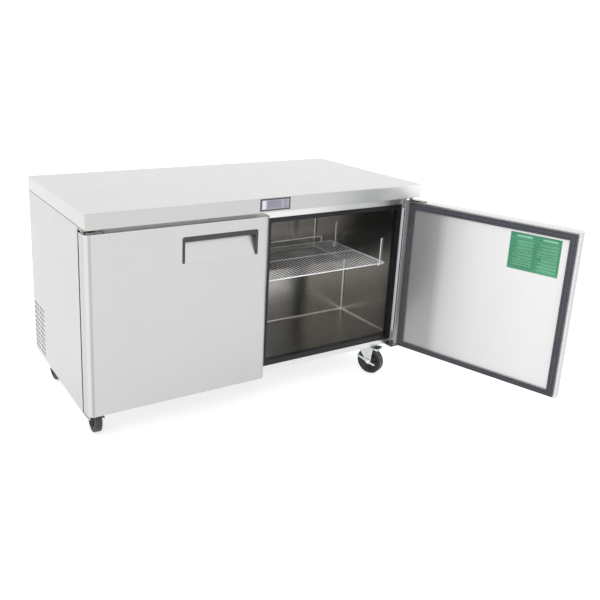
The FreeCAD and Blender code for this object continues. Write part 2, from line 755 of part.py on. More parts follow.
BRACKET_SCREW_X = (718, 742)
BRACKET_SCREW_Z = {"upper": 856, "lower": 154.2}


def build_hinge_brackets():
    pieces = []
    levels = (
        ("upper", ("862", "866"), ("850", "height - nose_drop"), ("806", "852"), 843.5, 22.5),
        ("lower", ("147", "151"), ("skirt_z + 1", "158"), ("156", "204"), 147, 19),
    )
    for level, plate_z, flange_z, leaf_z, pin_z, pin_length in levels:
        for side_name, side in SIDES:
            name = "%s_%s" % (level, side_name)
            against_face = ("face_y - 3", "face_y")
            plate = block("bracket_plate_" + name, mirrored(("708", "half_width"), side),
                          ("hinge_y - 12", "face_y"), plate_z)
            flange = block("bracket_flange_" + name, mirrored(("708", "half_width - 1"), side),
                           against_face, flange_z)
            leaf = block("bracket_leaf_" + name, mirrored(("746", "half_width - 1"), side),
                         against_face, leaf_z)
            pin = rod("hinge_pin_" + name, "hinge_pin", str(pin_length),
                      (size["hinge_x"] * side, size["hinge_y"], pin_z), (0, 0, 1))
            holes = [rod("bracket_hole_%s_%d" % (name, x), "2.5", "10",
                         (side * x, 80, BRACKET_SCREW_Z[level]), (0, 1, 0))
                     for x in BRACKET_SCREW_X]
            solid = fuse("bracket_solid_" + name, [plate, flange, leaf, pin])
            pieces.append(cut("hinge_bracket_" + name, solid, holes))
    sub_part("hinge_brackets", group("hinge_bracket_set", pieces))


def caster_centres():
    """Each caster's name and the place of its kingpin."""
    left, right = -size["caster_left_x"], size["caster_right_x"]
    front, rear = size["caster_front_y"], size["caster_rear_y"]
    return [("front_left", left, front), ("front_right", right, front),
            ("rear_left", left, rear), ("rear_right", right, rear)]


PLATE_BOLTS = [(dx, dy) for dx in (-36, 36) for dy in (-22, 22)]


def caster_bolt_centres():
    return [(x + dx, y + dy) for _, x, y in caster_centres() for dx, dy in PLATE_BOLTS]


def screw_shape(head_radius, head_height, shank_radius, shank_length, base, direction):
    """A round-headed screw: its head stands on the base point, its shank runs along direction."""
    way = Vector(*direction)
    head = Part.makeCylinder(head_radius, head_height, Vector(*base) - way * head_height, way)
    shank = Part.makeCylinder(shank_radius, shank_length, Vector(*base), way)
    return head.fuse(shank)


def hex_bolt_shape(across, head_height, shank_radius, shank_length, base):
    corners = [Vector(across / math.sqrt(3) * math.cos(math.radians(60 * k)),
                      across / math.sqrt(3) * math.sin(math.radians(60 * k)), 0)
               for k in range(7)]
    head = Part.Face(Part.makePolygon(corners)).extrude(Vector(0, 0, -head_height))
    shank = Part.makeCylinder(shank_radius, shank_length)
    bolt = head.fuse(shank)
    bolt.translate(Vector(*base))
    return bolt


def build_fasteners():
    plate_low = size["pan_z"] - 4
    pieces = [hex_bolt_shape(12, 5, 4, 4.9, (x, y, plate_low)) for x, y in caster_bolt_centres()]
    for side in (1, -1):
        for x in BRACKET_SCREW_X:
            for screw_z in BRACKET_SCREW_Z.values():
                base = (side * x, size["face_y"] - 3, screw_z)
                pieces.append(screw_shape(3, 1.6, 2.4, 2.9, base, (0, 1, 0)))
    for x, z in GRILLE_SCREWS:
        pieces.append(screw_shape(4, 1.8, 1.8, 0.9, (x, size["depth"], z), (0, -1, 0)))
    sub_part("fasteners", feature("fastener_set", Part.makeCompound(pieces),
                                  Placement(FRAME, Rotation())))


# ---------------------------------------------------------------- doors

def door_placement(side):
    """The left door stands closed; the right one is turned open about its hinge pins."""
    if side < 0:
        return Placement(FRAME, Rotation())
    hinge = Vector(size["hinge_x"], size["hinge_y"], 0)
    turn = Placement(Vector(0, 0, 0), Rotation(Vector(0, 0, 1), size["open_angle"]), hinge)
    return Placement(FRAME, Rotation()).multiply(turn)


def door_outline(name, side, inset, back, low, high, radius):
    """The door's footprint with both front corners rounded, drawn in from the skin by inset."""
    across = mirrored(("door_free_x + %g" % inset, "half_width - %g" % inset), side)
    solid = block(name, across, ("door_front_y + %g" % inset, back), (low, high), local=True)
    front = size["door_front_y"] + inset

    def at_front(edge):
        return is_vertical(edge) and abs(edge.Vertexes[0].Point.y - front) < 1e-6

    return round_edges(name + "_rounded", solid, radius, at_front)


def wedge(name, side, low_x, high_x, profile):
    """A solid with one section in the YZ plane, between two X positions of the right door."""
    x0, x1 = sorted((side * low_x, side * high_x))
    points = [Vector(x0, y, z) for y, z in profile]
    face = Part.Face(Part.makePolygon(points + points[:1]))
    return feature(name, face.extrude(Vector(x1 - x0, 0, 0)))


def build_door_skin(side_name, side):
    gauge = size["gauge"]
    low, high = "door_bottom_z + 2", "door_top_z - cap_flange"
    outer = door_outline(side_name + "_skin_out", side, 0, "door_back_y - gauge", low, high,
                         size["door_corner"])
    inner = door_outline(side_name + "_skin_in", side, gauge, "door_back_y + 1",
                         low + " - 1", high + " + 1", size["door_corner"] - gauge)
    front = size["door_front_y"]
    bottom, top = size["grip_bottom_z"], size["grip_top_z"]
    slope = size["grip_slope"]
    window = block(side_name + "_grip_window", mirrored(("grip_free_x", "grip_hinge_x"), side),
                   ("door_front_y - 2", "door_front_y + gauge"), ("grip_bottom_z", "grip_top_z"),
                   local=True)
    shell = cut(side_name + "_skin_shell", outer, [inner, window])
    deep = front + slope * (top - bottom)
    flap = wedge(side_name + "_pocket_back", side, size["grip_free_x"], size["grip_hinge_x"],
                 [(front, bottom - 1.2), (deep, top), (deep + 1.2, top),
                  (front + 1.2, bottom - 1.2)])
    skin = fuse(side_name + "_skin", [shell, flap])
    skin.Placement = door_placement(side)
    sub_part(side_name + "_door_skin", skin)


def build_grip(side_name, side):
    front = size["door_front_y"]
    bottom, top = size["grip_bottom_z"], size["grip_top_z"]
    slope = size["grip_slope"]
    bar, leg = size["grip_bar"], size["grip_leg"]
    gap = 0.1
    proud = 1.5
    deep = front + slope * (top - bottom)
    solid = wedge(side_name + "_grip_solid", side, size["grip_free_x"] + gap,
                  size["grip_hinge_x"] - gap,
                  [(front - proud, bottom), (front - proud, top - gap), (deep - gap, top - gap),
                   (front - gap, bottom)])
    below_bar = top - bar
    roof = top - 4
    recess = wedge(side_name + "_grip_recess", side, size["grip_free_x"] + leg,
                   size["grip_hinge_x"] - leg,
                   [(front - 5, bottom - 5), (front - 5, below_bar), (front + 4, below_bar),
                    (front + 4, roof), (deep + 9, roof), (deep + 9, bottom - 5)])
    grip = round_edges(side_name + "_grip_rounded",
                       cut(side_name + "_grip_cut", solid, [recess]), 9, is_grip_corner)
    grip.Placement = door_placement(side)
    sub_part(side_name + "_door_grip", grip)


def is_grip_corner(edge):
    """The two outer top corners of the grip frame's face, which run front to back."""
    first, last = edge.Vertexes[0].Point, edge.Vertexes[-1].Point
    along_y = abs(first.x - last.x) + abs(first.z - last.z) < 1e-6
    outer = min(abs(abs(first.x) - size["grip_free_x"]), abs(abs(first.x) - size["grip_hinge_x"]))
    return along_y and outer < 1 and abs(first.z - size["grip_top_z"]) < 1


def build_door_foam(side_name, side):
    gauge = size["gauge"]
    low, high = "door_bottom_z + cap_plug + 2", "door_top_z - cap_plug - cap_flange"
    pocket_back = size["door_front_y"] + size["grip_slope"] * (
        size["grip_top_z"] - size["grip_bottom_z"]) + 2
    inset = gauge + 0.1
    whole = door_outline(side_name + "_foam_whole", side, inset, "door_back_y - gauge",
                         low, high, size["door_corner"] - inset)
    everything = ("0", "half_width")
    rear = ("%g" % pocket_back, "door_back_y")
    front = ("door_front_y", "%g" % pocket_back)
    under = "grip_bottom_z - 2.5"
    over = "grip_top_z + 0.5"
    cells = (
        ("rear", everything, rear, (low, high)),
        ("lower", everything, front, (low, under)),
        ("upper", everything, front, (over, high)),
        ("free", ("0", "grip_free_x - 0.5"), front, (under, over)),
        ("hinge", ("grip_hinge_x + 0.5", "half_width"), front, (under, over)),
    )
    pieces = []
    for cell, across, depth, tall in cells:
        name = "%s_foam_%s" % (side_name, cell)
        limit = block(name + "_limit", mirrored(across, side), depth, tall, local=True)
        piece = doc.addObject("Part::Common", name)
        piece.Base = whole
        piece.Tool = limit
        pieces.append(piece)
    low_z, high_z = value_of(under), value_of(over)
    behind = value_of("door_front_y + gauge + 0.4")
    pieces.append(wedge(side_name + "_foam_behind_pocket", side, value_of("grip_free_x - 0.5"),
                        value_of("grip_hinge_x + 0.5"),
                        [(behind, low_z), (pocket_back, low_z), (pocket_back, high_z),
                         (pocket_back - 0.5, high_z)]))
    foam = group(side_name + "_foam", pieces)
    foam.Placement = door_placement(side)
    sub_part(side_name + "_door_foam", foam)


def build_door_liner(side_name, side):
    liner = block(side_name + "_liner_sheet", mirrored(("door_free_x", "half_width"), side),
                  ("door_back_y - gauge", "door_back_y"),
                  ("door_bottom_z + 2", "door_top_z - cap_flange"), local=True)
    holder = group(side_name + "_liner", [liner])
    holder.Placement = door_placement(side)
    sub_part(side_name + "_door_liner", holder)


def build_gasket(side_name, side):
    def ring(name, inset, inner_inset, y):
        outside = mirrored(("gasket_free_x + %g" % inset, "gasket_hinge_x - %g" % inset), side)
        inside = mirrored(("gasket_free_x + gasket_width - %g" % inner_inset,
                           "gasket_hinge_x - gasket_width + %g" % inner_inset), side)
        outer = block(name + "_outer", outside, y,
                      ("gasket_bottom_z + %g" % inset, "gasket_top_z - %g" % inset), local=True)
        inner = block(name + "_inner", inside, (y[0] + " - 1", y[1] + " + 1"),
                      ("gasket_bottom_z + gasket_width - %g" % inner_inset,
                       "gasket_top_z - gasket_width + %g" % inner_inset), local=True)
        return cut(name, outer, [inner])

    foot = ring(side_name + "_gasket_foot", 6, 6, ("door_back_y", "door_back_y + 4"))
    head = ring(side_name + "_gasket_head", 0, 0, ("door_back_y + 4", "gasket_y"))
    gasket = fuse(side_name + "_gasket", [foot, head])
    gasket.Placement = door_placement(side)
    sub_part(side_name + "_door_gasket", gasket)


def build_door_caps(side_name, side):
    gauge = size["gauge"]
    ends = (
        ("bottom", "door_bottom_z", "door_bottom_z + 2", "door_bottom_z + cap_plug + 2", 153, 15),
        ("top", "door_top_z - cap_flange", "door_top_z", "door_top_z - cap_plug - cap_flange",
         841, 13),
    )
    caps = []
    for end, flange_low, flange_high, plug_end, hole_z, hole_depth in ends:
        name = "%s_cap_%s" % (side_name, end)
        flange = door_outline(name + "_flange", side, 0, "door_back_y", flange_low, flange_high,
                              size["door_corner"])
        plug_low, plug_high = sorted((plug_end, flange_high if end == "bottom" else flange_low),
                                     key=value_of)
        inset = gauge + 0.1
        plug = door_outline(name + "_plug", side, inset, "door_back_y - gauge", plug_low,
                            plug_high, size["door_corner"] - inset)
        hole = rod(name + "_hole", "hinge_pin + running_gap", str(hole_depth),
                   (size["hinge_x"] * side, size["hinge_y"], hole_z), (0, 0, 1), local=True)
        caps.append(cut(name, fuse(name + "_solid", [flange, plug]), [hole]))
    pair = group(side_name + "_caps", caps)
    pair.Placement = door_placement(side)
    sub_part(side_name + "_door_caps", pair)


def build_placard():
    placard = block("placard_sheet", ("70", "275"), ("door_back_y", "door_back_y + 0.5"),
                    ("655", "809"), local=True)
    holder = group("placard", [placard])
    holder.Placement = door_placement(1)
    sub_part("right_door_placard", holder)


# ---------------------------------------------------------------- casters

SWIVEL_ANGLE = {"front_left": 176, "front_right": 21, "rear_left": 184, "rear_right": 166}

CASTER_PLATE = (92, 64, 4)


def build_caster_plates():
    long, wide, thick = CASTER_PLATE
    plate_low = size["pan_z"] - thick
    cup_low = size["crown_z"] + 0.3
    plates = []
    for _, x, y in caster_centres():
        base = Vector(x, y, 0)
        plate = Part.makeBox(long, wide, thick, base + Vector(-long / 2, -wide / 2, plate_low))
        cup = Part.makeCone(24, 28, plate_low - cup_low, base + Vector(0, 0, cup_low))
        bore = Part.makeCylinder(size["kingpin_radius"] + size["running_gap"], 10,
                                 base + Vector(0, 0, cup_low - 1))
        holes = [Part.makeCylinder(4.1, 10, base + Vector(dx, dy, plate_low - 3))
                 for dx, dy in PLATE_BOLTS]
        plates.append(plate.fuse(cup).cut(bore).cut(Part.makeCompound(holes)))
    sub_part("caster_plates", feature("caster_plate_set", Part.makeCompound(plates),
                                      Placement(FRAME, Rotation())))


def caster_placement(corner, x, y):
    base = Vector(x, y, 0) + FRAME
    return Placement(base, Rotation(Vector(0, 0, 1), SWIVEL_ANGLE[corner]))


def build_fork(corner, placement):
    """Fork with its kingpin and axle, in the caster's axes: the wheel trails towards minus Y."""
    body = doc.addObject("PartDesign::Body", corner + "_fork_body")
    leg = [("-26", "crown_z"), ("24", "crown_z"), ("22", "crown_z - 12"),
           ("-caster_trail + 13", "wheel_radius - 6"), ("-caster_trail + 6", "wheel_radius - 13"),
           ("-caster_trail - 6", "wheel_radius - 13"), ("-caster_trail - 13", "wheel_radius - 6"),
           ("-caster_trail - 15", "wheel_radius + 18"), ("-58", "crown_z - 18"),
           ("-60", "crown_z")]
    outline = polygon_sketch(body, corner + "_fork_leg", "YZ_Plane", leg)
    pad(body, corner + "_fork_pad", outline, "fork_gap + 2*fork_gauge", both_ways=True)
    gap = [("-fork_gap/2", "0"), ("fork_gap/2", "0"), ("fork_gap/2", "crown_z - fork_gauge"),
           ("-fork_gap/2", "crown_z - fork_gauge")]
    inside = polygon_sketch(body, corner + "_fork_gap", "XZ_Plane", gap)
    pocket(body, corner + "_fork_pocket", inside, "400", both_ways=True)
    pin_outline = circle_sketch(body, corner + "_kingpin_circle", "XY_Plane", ("0", "0"),
                                "kingpin_radius")
    pin_outline.AttachmentOffset = Placement(Vector(0, 0, size["crown_z"] - 1), Rotation())
    pad(body, corner + "_kingpin", pin_outline, "9")
    notch = [("-14", "-70"), ("14", "-70"), ("14", "-44"), ("-14", "-44")]
    opening = polygon_sketch(body, corner + "_crown_notch", "XY_Plane", notch)
    opening.AttachmentOffset = Placement(Vector(0, 0, size["crown_z"] + 1), Rotation())
    pocket(body, corner + "_notch", opening, "5")
    doc.recompute()
    frame_solid = body

    axle_z = size["wheel_radius"]
    reach = size["fork_gap"] / 2 + size["fork_gauge"]
    hole = rod(corner + "_axle_hole", "axle_radius + 0.1", str(reach * 2 + 10),
               (-reach - 5, -size["caster_trail"], axle_z), (1, 0, 0), local=True)
    drilled = cut(corner + "_fork_drilled", frame_solid, [hole])
    shaft = rod(corner + "_axle_shaft", "axle_radius", str(reach * 2 + 7),
                (-reach - 0.2, -size["caster_trail"], axle_z), (1, 0, 0), local=True)
    head = rod(corner + "_axle_head", "8.5", "4", (-reach - 4.2, -size["caster_trail"], axle_z),
               (1, 0, 0), local=True)
    nut = rod(corner + "_axle_nut", "8", "5", (reach + 0.2, -size["caster_trail"], axle_z),
              (1, 0, 0), local=True)
    axle = fuse(corner + "_axle", [shaft, head, nut])
    assembly = group(corner + "_fork_set", [drilled, axle])
    assembly.Placement = placement
    sub_part(corner + "_fork", assembly)


def build_wheel(corner, placement):
    """Hub and tyre, turned about the axle."""
    centre = Placement(Vector(0, -size["caster_trail"], size["wheel_radius"]), Rotation())
    turned = placement.multiply(centre).multiply(
        Placement(Vector(0, 0, 0), Rotation(Vector(0, 0, 1), -90)))
    bore = "axle_radius + running_gap"
    half = "wheel_width/2"
    hub = doc.addObject("PartDesign::Body", corner + "_hub_body")
    hub_outline = [
        ("-18.5", bore), ("18.5", bore), ("18.5", "14"), ("13", "17"), ("6", "40"),
        ("12", "47"), ("12", "52"), ("-12", "52"), ("-12", "47"), ("-6", "40"), ("-13", "17"),
        ("-18.5", "14")]
    sketch = polygon_sketch(hub, corner + "_hub_outline", "YZ_Plane", hub_outline)
    revolve(hub, corner + "_hub_turn", sketch, "H_Axis")
    hub.Placement = turned
    sub_part(corner + "_hub", hub)

    tyre = doc.addObject("PartDesign::Body", corner + "_tyre_body")
    outline = [("-12", "46.5"), ("-14", "46.5"), ("-%s" % half, "50"), ("-%s" % half, "58"),
               ("-12.5", "61.4")]
    for groove in (-7, 0, 7):
        outline += [(str(groove - 1.4), "wheel_radius"), (str(groove - 0.7), "60.9"),
                    (str(groove + 0.7), "60.9"), (str(groove + 1.4), "wheel_radius")]
    outline += [("12.5", "61.4"), (half, "58"), (half, "50"), ("14", "46.5"), ("12", "46.5"),
                ("12", "52"), ("-12", "52")]
    sketch = polygon_sketch(tyre, corner + "_tyre_outline", "YZ_Plane", outline)
    revolve(tyre, corner + "_tyre_turn", sketch, "H_Axis")
    tyre.Placement = turned
    sub_part(corner + "_tyre", tyre)


def build_brake_pedal(corner, placement):
    """A foot pedal hung between the fork's legs behind the crown, with a pad on its toe."""
    pivot_y, pivot_z = -51, 129.5
    arm = doc.addObject("PartDesign::Body", corner + "_pedal_body")
    outline = [("-46", "127"), ("-46", "132"), ("-56", "132.5"), ("-84", "136"), ("-87", "133"),
               ("-81", "122"), ("-70", "123"), ("-54", "126.5")]
    sketch = polygon_sketch(arm, corner + "_pedal_outline", "YZ_Plane", outline)
    pad(arm, corner + "_pedal_pad", sketch, "fork_gap - 2", both_ways=True)
    toe = [("-62", "132.5"), ("-83", "135.1"), ("-84.2", "139.5"), ("-63", "137")]
    cover = polygon_sketch(arm, corner + "_pedal_cover", "YZ_Plane", toe)
    pad(arm, corner + "_pedal_toe", cover, "fork_gap + 4", both_ways=True)
    pin = circle_sketch(arm, corner + "_pedal_pin", "YZ_Plane", (str(pivot_y), str(pivot_z)), "2.5")
    pad(arm, corner + "_pedal_pivot", pin, "fork_gap - 0.6", both_ways=True)
    arm.Placement = placement
    sub_part(corner + "_brake_pedal", arm)


def build_casters():
    build_caster_plates()
    for corner, x, y in caster_centres():
        placement = caster_placement(corner, x, y)
        build_fork(corner, placement)
        build_wheel(corner, placement)
        if corner.startswith("front"):
            build_brake_pedal(corner, placement)


# ---------------------------------------------------------------- build and write

build_worktop()
build_side_panels()
build_back()
build_base_pan()
build_face_frame()
build_breaker_strips()
build_foam()
build_liner()
build_shelves()
build_shelf_supports()
build_evaporator()
build_condenser()
build_fan_motors()
build_compressor()
build_machine_fittings()
build_controller()
build_hinge_brackets()
build_fasteners()
for door_side, door_sign in SIDES:
    build_door_skin(door_side, door_sign)
    build_grip(door_side, door_sign)
    build_door_foam(door_side, door_sign)
    build_door_liner(door_side, door_sign)
    build_gasket(door_side, door_sign)
    build_door_caps(door_side, door_sign)
build_placard()
build_casters()
doc.recompute()

problems = [obj.Name for obj in doc.Objects if "Invalid" in obj.State or "Error" in obj.State]
for sub in SUB_PARTS:
    if sub.Shape.isNull() or not sub.Shape.isValid() or not sub.Shape.Solids:
        problems.append(sub.Label)
if problems:
    raise RuntimeError("features that failed: " + ", ".join(problems))

os.makedirs("parts", exist_ok=True)
for sub in SUB_PARTS:
    sub.Shape.exportStep(os.path.join("parts", sub.Label + ".step"))

whole = FreeCAD.BoundBox()
for sub in SUB_PARTS:
    whole.add(sub.Shape.BoundBox)
print("sub-parts:", len(SUB_PARTS))
print("box: X %.1f %.1f  Y %.1f %.1f  Z %.1f %.1f" % (
    whole.XMin, whole.XMax, whole.YMin, whole.YMax, whole.ZMin, whole.ZMax))
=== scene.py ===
"""Undercounter refrigerator: materials and finer pieces over the CAD frame, stage and camera."""

import json
import math
import random

import bmesh
import bpy
from mathutils import Matrix, Vector


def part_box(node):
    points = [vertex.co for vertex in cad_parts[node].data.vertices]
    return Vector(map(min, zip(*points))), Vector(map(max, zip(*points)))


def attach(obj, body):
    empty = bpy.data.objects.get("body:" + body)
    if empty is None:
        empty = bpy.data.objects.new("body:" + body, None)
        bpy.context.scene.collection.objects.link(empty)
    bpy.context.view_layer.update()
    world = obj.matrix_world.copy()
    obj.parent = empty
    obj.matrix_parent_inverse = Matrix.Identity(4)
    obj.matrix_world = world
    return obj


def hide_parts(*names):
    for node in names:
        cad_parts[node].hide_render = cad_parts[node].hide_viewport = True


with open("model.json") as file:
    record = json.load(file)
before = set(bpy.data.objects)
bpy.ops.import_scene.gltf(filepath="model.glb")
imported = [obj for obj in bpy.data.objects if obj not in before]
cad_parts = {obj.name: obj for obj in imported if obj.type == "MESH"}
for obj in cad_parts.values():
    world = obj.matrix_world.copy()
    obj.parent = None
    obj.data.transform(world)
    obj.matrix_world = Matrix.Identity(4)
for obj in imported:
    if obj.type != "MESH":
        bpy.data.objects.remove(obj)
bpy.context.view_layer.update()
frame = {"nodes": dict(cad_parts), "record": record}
NODES = frame["nodes"]
JOINTS = {joint["name"]: joint for joint in frame["record"]["behaviour"]["joints"]}
MM = 0.001

# ------------------------------------------------------------------ places

worktop_low, worktop_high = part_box("worktop")
ORIGIN = Vector(((worktop_low.x + worktop_high.x) / 2, worktop_low.y, 0.0))

# From the cabinet's millimetres to the row frame. In them x starts at the cabinet's centre line,
# y at the front of the nose and z at the floor.
CABINET = Matrix.Translation(ORIGIN) @ Matrix.Scale(MM, 4)


def local(place):
    """A place of the row frame in the cabinet's millimetres, to a tenth."""
    return [round(part, 1) for part in CABINET.inverted() @ Vector(place)]


def local_box(node_name):
    """The lowest and the highest corner of a CAD node in the cabinet's millimetres."""
    return [local(corner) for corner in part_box(node_name)]


def span(side, low, high):
    """A span of x at one side of the cabinet: 1 is the right side, -1 the left."""
    return sorted((side * low, side * high))


WORKTOP_LOW_Z = local_box("worktop")[0][2]
HALF_WIDTH, DEPTH, _ = local_box("worktop")[1]
FRAME_Y = local_box("face_frame")[0][1]
HINGE_X, HINGE_Y, _ = local(JOINTS["right_door_hinge"]["pos_m"])

# The closed left door gives the gasket's ring, which the closed right door has mirrored.
gasket_low, gasket_high = local_box("left_door_gasket")
GASKET_X = (-gasket_high[0], -gasket_low[0])
GASKET_Z = (gasket_low[2], gasket_high[2])
DOOR_FRONT_Y = local_box("left_door_skin")[0][1]
DOOR_BACK_Y = gasket_low[1]


def door_matrix(side):
    """From the closed right door's millimetres to the row frame. The left door is its mirror."""
    if side < 0:
        return CABINET @ Matrix.Scale(-1, 4, Vector((1, 0, 0)))
    joint = JOINTS["right_door_hinge"]
    pivot = Matrix.Translation(Vector(joint["pos_m"]))
    turn = Matrix.Rotation(math.radians(-joint["range_deg"][0]), 4, "Z")
    return pivot @ turn @ pivot.inverted() @ CABINET


# ------------------------------------------------------------------ materials

class Paint:
    """Builds one procedural material around a Principled shader."""

    def __init__(self, name, **sockets):
        self.material = bpy.data.materials.new(name)
        self.material.use_nodes = True
        self.tree = self.material.node_tree
        self.shader = self.tree.nodes["Principled BSDF"]
        for socket, value in sockets.items():
            self.shader.inputs[socket.replace("_", " ")].default_value = value
        coordinates = self.add("ShaderNodeTexCoord")
        self.place = coordinates.outputs["Object"]
        self.normal = coordinates.outputs["Normal"]
        self.relief = None

    def add(self, kind, **settings):
        """Adds a node; a setting is one of its own values or else one of its sockets."""
        made = self.tree.nodes.new(kind)
        for key, value in settings.items():
            if hasattr(made, key):
                setattr(made, key, value)
            else:
                made.inputs[key.replace("_", " ")].default_value = value
        return made

    def link(self, source, target):
        self.tree.links.new(source, target)

    def stretched(self, scale):
        """Object coordinates with each axis scaled."""
        mapping = self.add("ShaderNodeMapping")
        mapping.inputs["Scale"].default_value = scale
        self.link(self.place, mapping.inputs["Vector"])
        return mapping.outputs["Vector"]

    def noise(self, scale, detail=3.0, roughness=0.55, stretch=(1, 1, 1)):
        made = self.add("ShaderNodeTexNoise", Scale=scale, Detail=detail, Roughness=roughness)
        self.link(self.stretched(stretch), made.inputs["Vector"])
        return made.outputs["Fac"]

    def voronoi(self, scale, output="Distance"):
        made = self.add("ShaderNodeTexVoronoi", Scale=scale)
        self.link(self.place, made.inputs["Vector"])
        return made.outputs[output]

    def ramp(self, source, stops):
        """A colour ramp through stops of (position, colour), where a number stands for a grey."""
        made = self.add("ShaderNodeValToRGB")
        elements = made.color_ramp.elements
        while len(elements) < len(stops):
            elements.new(0.5)
        for element, (position, colour) in zip(elements, stops):
            element.position = position
            if isinstance(colour, (int, float)):
                colour = (colour, colour, colour)
            element.color = (*colour, 1.0)
        self.link(source, made.inputs["Fac"])
        return made.outputs["Color"]

    def mix(self, first, second, factor, blend="MIX"):
        """Mixes two colours. The node's colours are its sockets 6 and 7, and its output 2."""
        made = self.add("ShaderNodeMix", data_type="RGBA", blend_type=blend)
        for source, socket in ((factor, 0), (first, 6), (second, 7)):
            if isinstance(source, (int, float)):
                made.inputs[socket].default_value = source
            elif isinstance(source, tuple):
                made.inputs[socket].default_value = (*source, 1.0)
            else:
                self.link(source, made.inputs[socket])
        return made.outputs[2]

    def maths(self, operation, first, second):
        made = self.add("ShaderNodeMath", operation=operation)
        for index, source in enumerate((first, second)):
            if isinstance(source, (int, float)):
                made.inputs[index].default_value = source
            else:
                self.link(source, made.inputs[index])
        return made.outputs[0]

    def facing(self, direction):
        """How far a surface looks in a direction: 1 straight along it, 0 square to it."""
        made = self.add("ShaderNodeVectorMath", operation="DOT_PRODUCT")
        self.link(self.normal, made.inputs[0])
        made.inputs[1].default_value = direction
        return made.outputs["Value"]

    def brushed(self, grain, amount):
        """Smears reflections across the grain of the metal."""
        made = self.add("ShaderNodeVectorMath", operation="CROSS_PRODUCT")
        self.link(self.add("ShaderNodeNewGeometry").outputs["Normal"], made.inputs[0])
        made.inputs[1].default_value = grain
        self.link(made.outputs["Vector"], self.shader.inputs["Tangent"])
        self.shader.inputs["Anisotropic"].default_value = amount

    def colour(self, source):
        self.link(source, self.shader.inputs["Base Color"])

    def rough(self, source, low, high):
        self.link(self.ramp(source, [(0.3, low), (0.7, high)]), self.shader.inputs["Roughness"])

    def bump(self, source, depth, strength=1.0):
        """Adds relief, its depth in metres, on top of any that is there."""
        made = self.add("ShaderNodeBump", Distance=depth, Strength=strength)
        self.link(source, made.inputs["Height"])
        if self.relief is not None:
            self.link(self.relief, made.inputs["Normal"])
        self.relief = made.outputs["Normal"]
        self.link(self.relief, self.shader.inputs["Normal"])


def shade(colour, factor):
    """A colour made lighter or darker."""
    return tuple(min(1.0, part * factor) for part in colour)


# The way that each run of grain smears reflections. A door's grain is upright like Z's, and its
# liner smears them along the door.
GRAIN = {"X": (1.0, 0.3, 0.03), "Z": (0.06, 0.04, 1.0), "door": (1.0, -0.35, 0.03)}


def steel(name, colour, grain="Z", low=0.28, high=0.35, depth=0.000006, spread=0.015, tones=(),
          smear=0.5, waviness=0.02, metal=1.0):
    """Brushed stainless: hair lines along one axis, faint bands, handling smudges.

    Roughness runs from low to high, depth is that of the hair lines in metres and spread is how
    far their tone differs. Each entry of tones makes a factor that the tone is multiplied by; they
    carry painted light and shade.
    """
    paint = Paint(name, Metallic=metal)
    line = "Z" if grain == "door" else grain
    hairs = paint.noise(1.0, 4.0, 0.7, tuple(3.0 if axis == line else 420.0 for axis in "XYZ"))
    bands = paint.noise(1.0, 2.0, 0.5, tuple(0.6 if axis == line else 46.0 for axis in "XYZ"))
    cloud = paint.noise(3.2, 4.0, 0.55)
    smudge = paint.noise(11.0, 5.0, 0.65)
    tone = paint.ramp(hairs, [(0.3, shade(colour, 1 - spread)), (0.7, shade(colour, 1 + spread))])
    for factor in (paint.ramp(bands, [(0.3, 0.99), (0.7, 1.0)]),
                   paint.ramp(cloud, [(0.3, 0.985), (0.7, 1.0)]),
                   *(make_tone(paint) for make_tone in tones)):
        tone = paint.mix(tone, factor, 1.0, "MULTIPLY")
    paint.colour(tone)
    worn = paint.maths("MULTIPLY", paint.maths("ADD", hairs, smudge), 0.5)
    paint.rough(worn, low, high)
    paint.bump(hairs, depth)
    paint.bump(cloud, 0.0003, waviness)
    paint.brushed(GRAIN[grain], smear)
    return paint.material


def door_steel(name, hinge_way):
    """Door skin with painted reflections: a dark line where the rounded hinge edge starts, a light
    one past it, and faces that look up painted a little lighter than the rest.
    """
    # Painted reflection: a dark line where the hinge edge starts to round, and a light one past it.
    edge = [(0.0, 0.86), (0.06, 0.80), (0.16, 0.64), (0.34, 0.66), (0.5, 0.92), (0.66, 1.0),
            (0.9, 0.97), (1.0, 0.84)]
    # Painted light: faces that look up stay lighter, and the rest are painted a little darker.
    plate = [(0.15, 0.93), (0.3, 1.0)]
    return steel(name, (0.61, 0.61, 0.61), "Z",
                 tones=(lambda paint: paint.ramp(paint.facing(hinge_way), edge),
                        lambda paint: paint.ramp(paint.facing((0, 0, 1)), plate)))


def door_liner(name, hinge_way):
    """Liner panel with painted shade: darker beside the hinge, a painted reflection of the
    cabinet's dark inside near it.
    """
    pivot = Vector(JOINTS[name.replace("_liner_steel", "_door_hinge")]["pos_m"])
    start = pivot.dot(Vector(hinge_way))
    # Painted shade, darkest near the hinge.
    stops = [(0.03, 0.50), (0.16, 0.53), (0.21, 0.80), (0.36, 0.95), (0.6, 1.0)]

    def painted_hinge_shade(paint):
        made = paint.add("ShaderNodeVectorMath", operation="DOT_PRODUCT")
        paint.link(paint.place, made.inputs[0])
        made.inputs[1].default_value = hinge_way
        return paint.ramp(paint.maths("SUBTRACT", start, made.outputs["Value"]), stops)

    return steel(name, (0.635, 0.635, 0.635), "door", 0.2, 0.23, 0.000002, smear=0.7, waviness=0.01,
                 tones=(painted_hinge_shade,), metal=0.4)


def inside_painted_shade(paint):
    """Painted shade: the liner's floor is painted a little darker than its walls."""
    return paint.ramp(paint.facing((0, 0, 1)), [(0.3, 1.0), (0.8, 0.60)])


def worktop_painted_shade_and_light(paint):
    """Painted shade and light: the nose is painted a little darker than the top, and lighter
    towards the open door against that door's dark reflection in it.
    """
    along = paint.add("ShaderNodeSeparateXYZ")
    paint.link(paint.place, along.inputs[0])
    # Painted light: the nose is painted lighter towards the open door.
    nose = paint.ramp(along.outputs["X"], [(0.22, 0.64), (0.40, 0.71), (0.50, 0.86), (0.58, 1.0)])
    return paint.mix((0.715, 0.715, 0.715), nose,
                     paint.ramp(paint.facing((0, -1, 0)), [(0.3, 0.0), (0.8, 1.0)]))


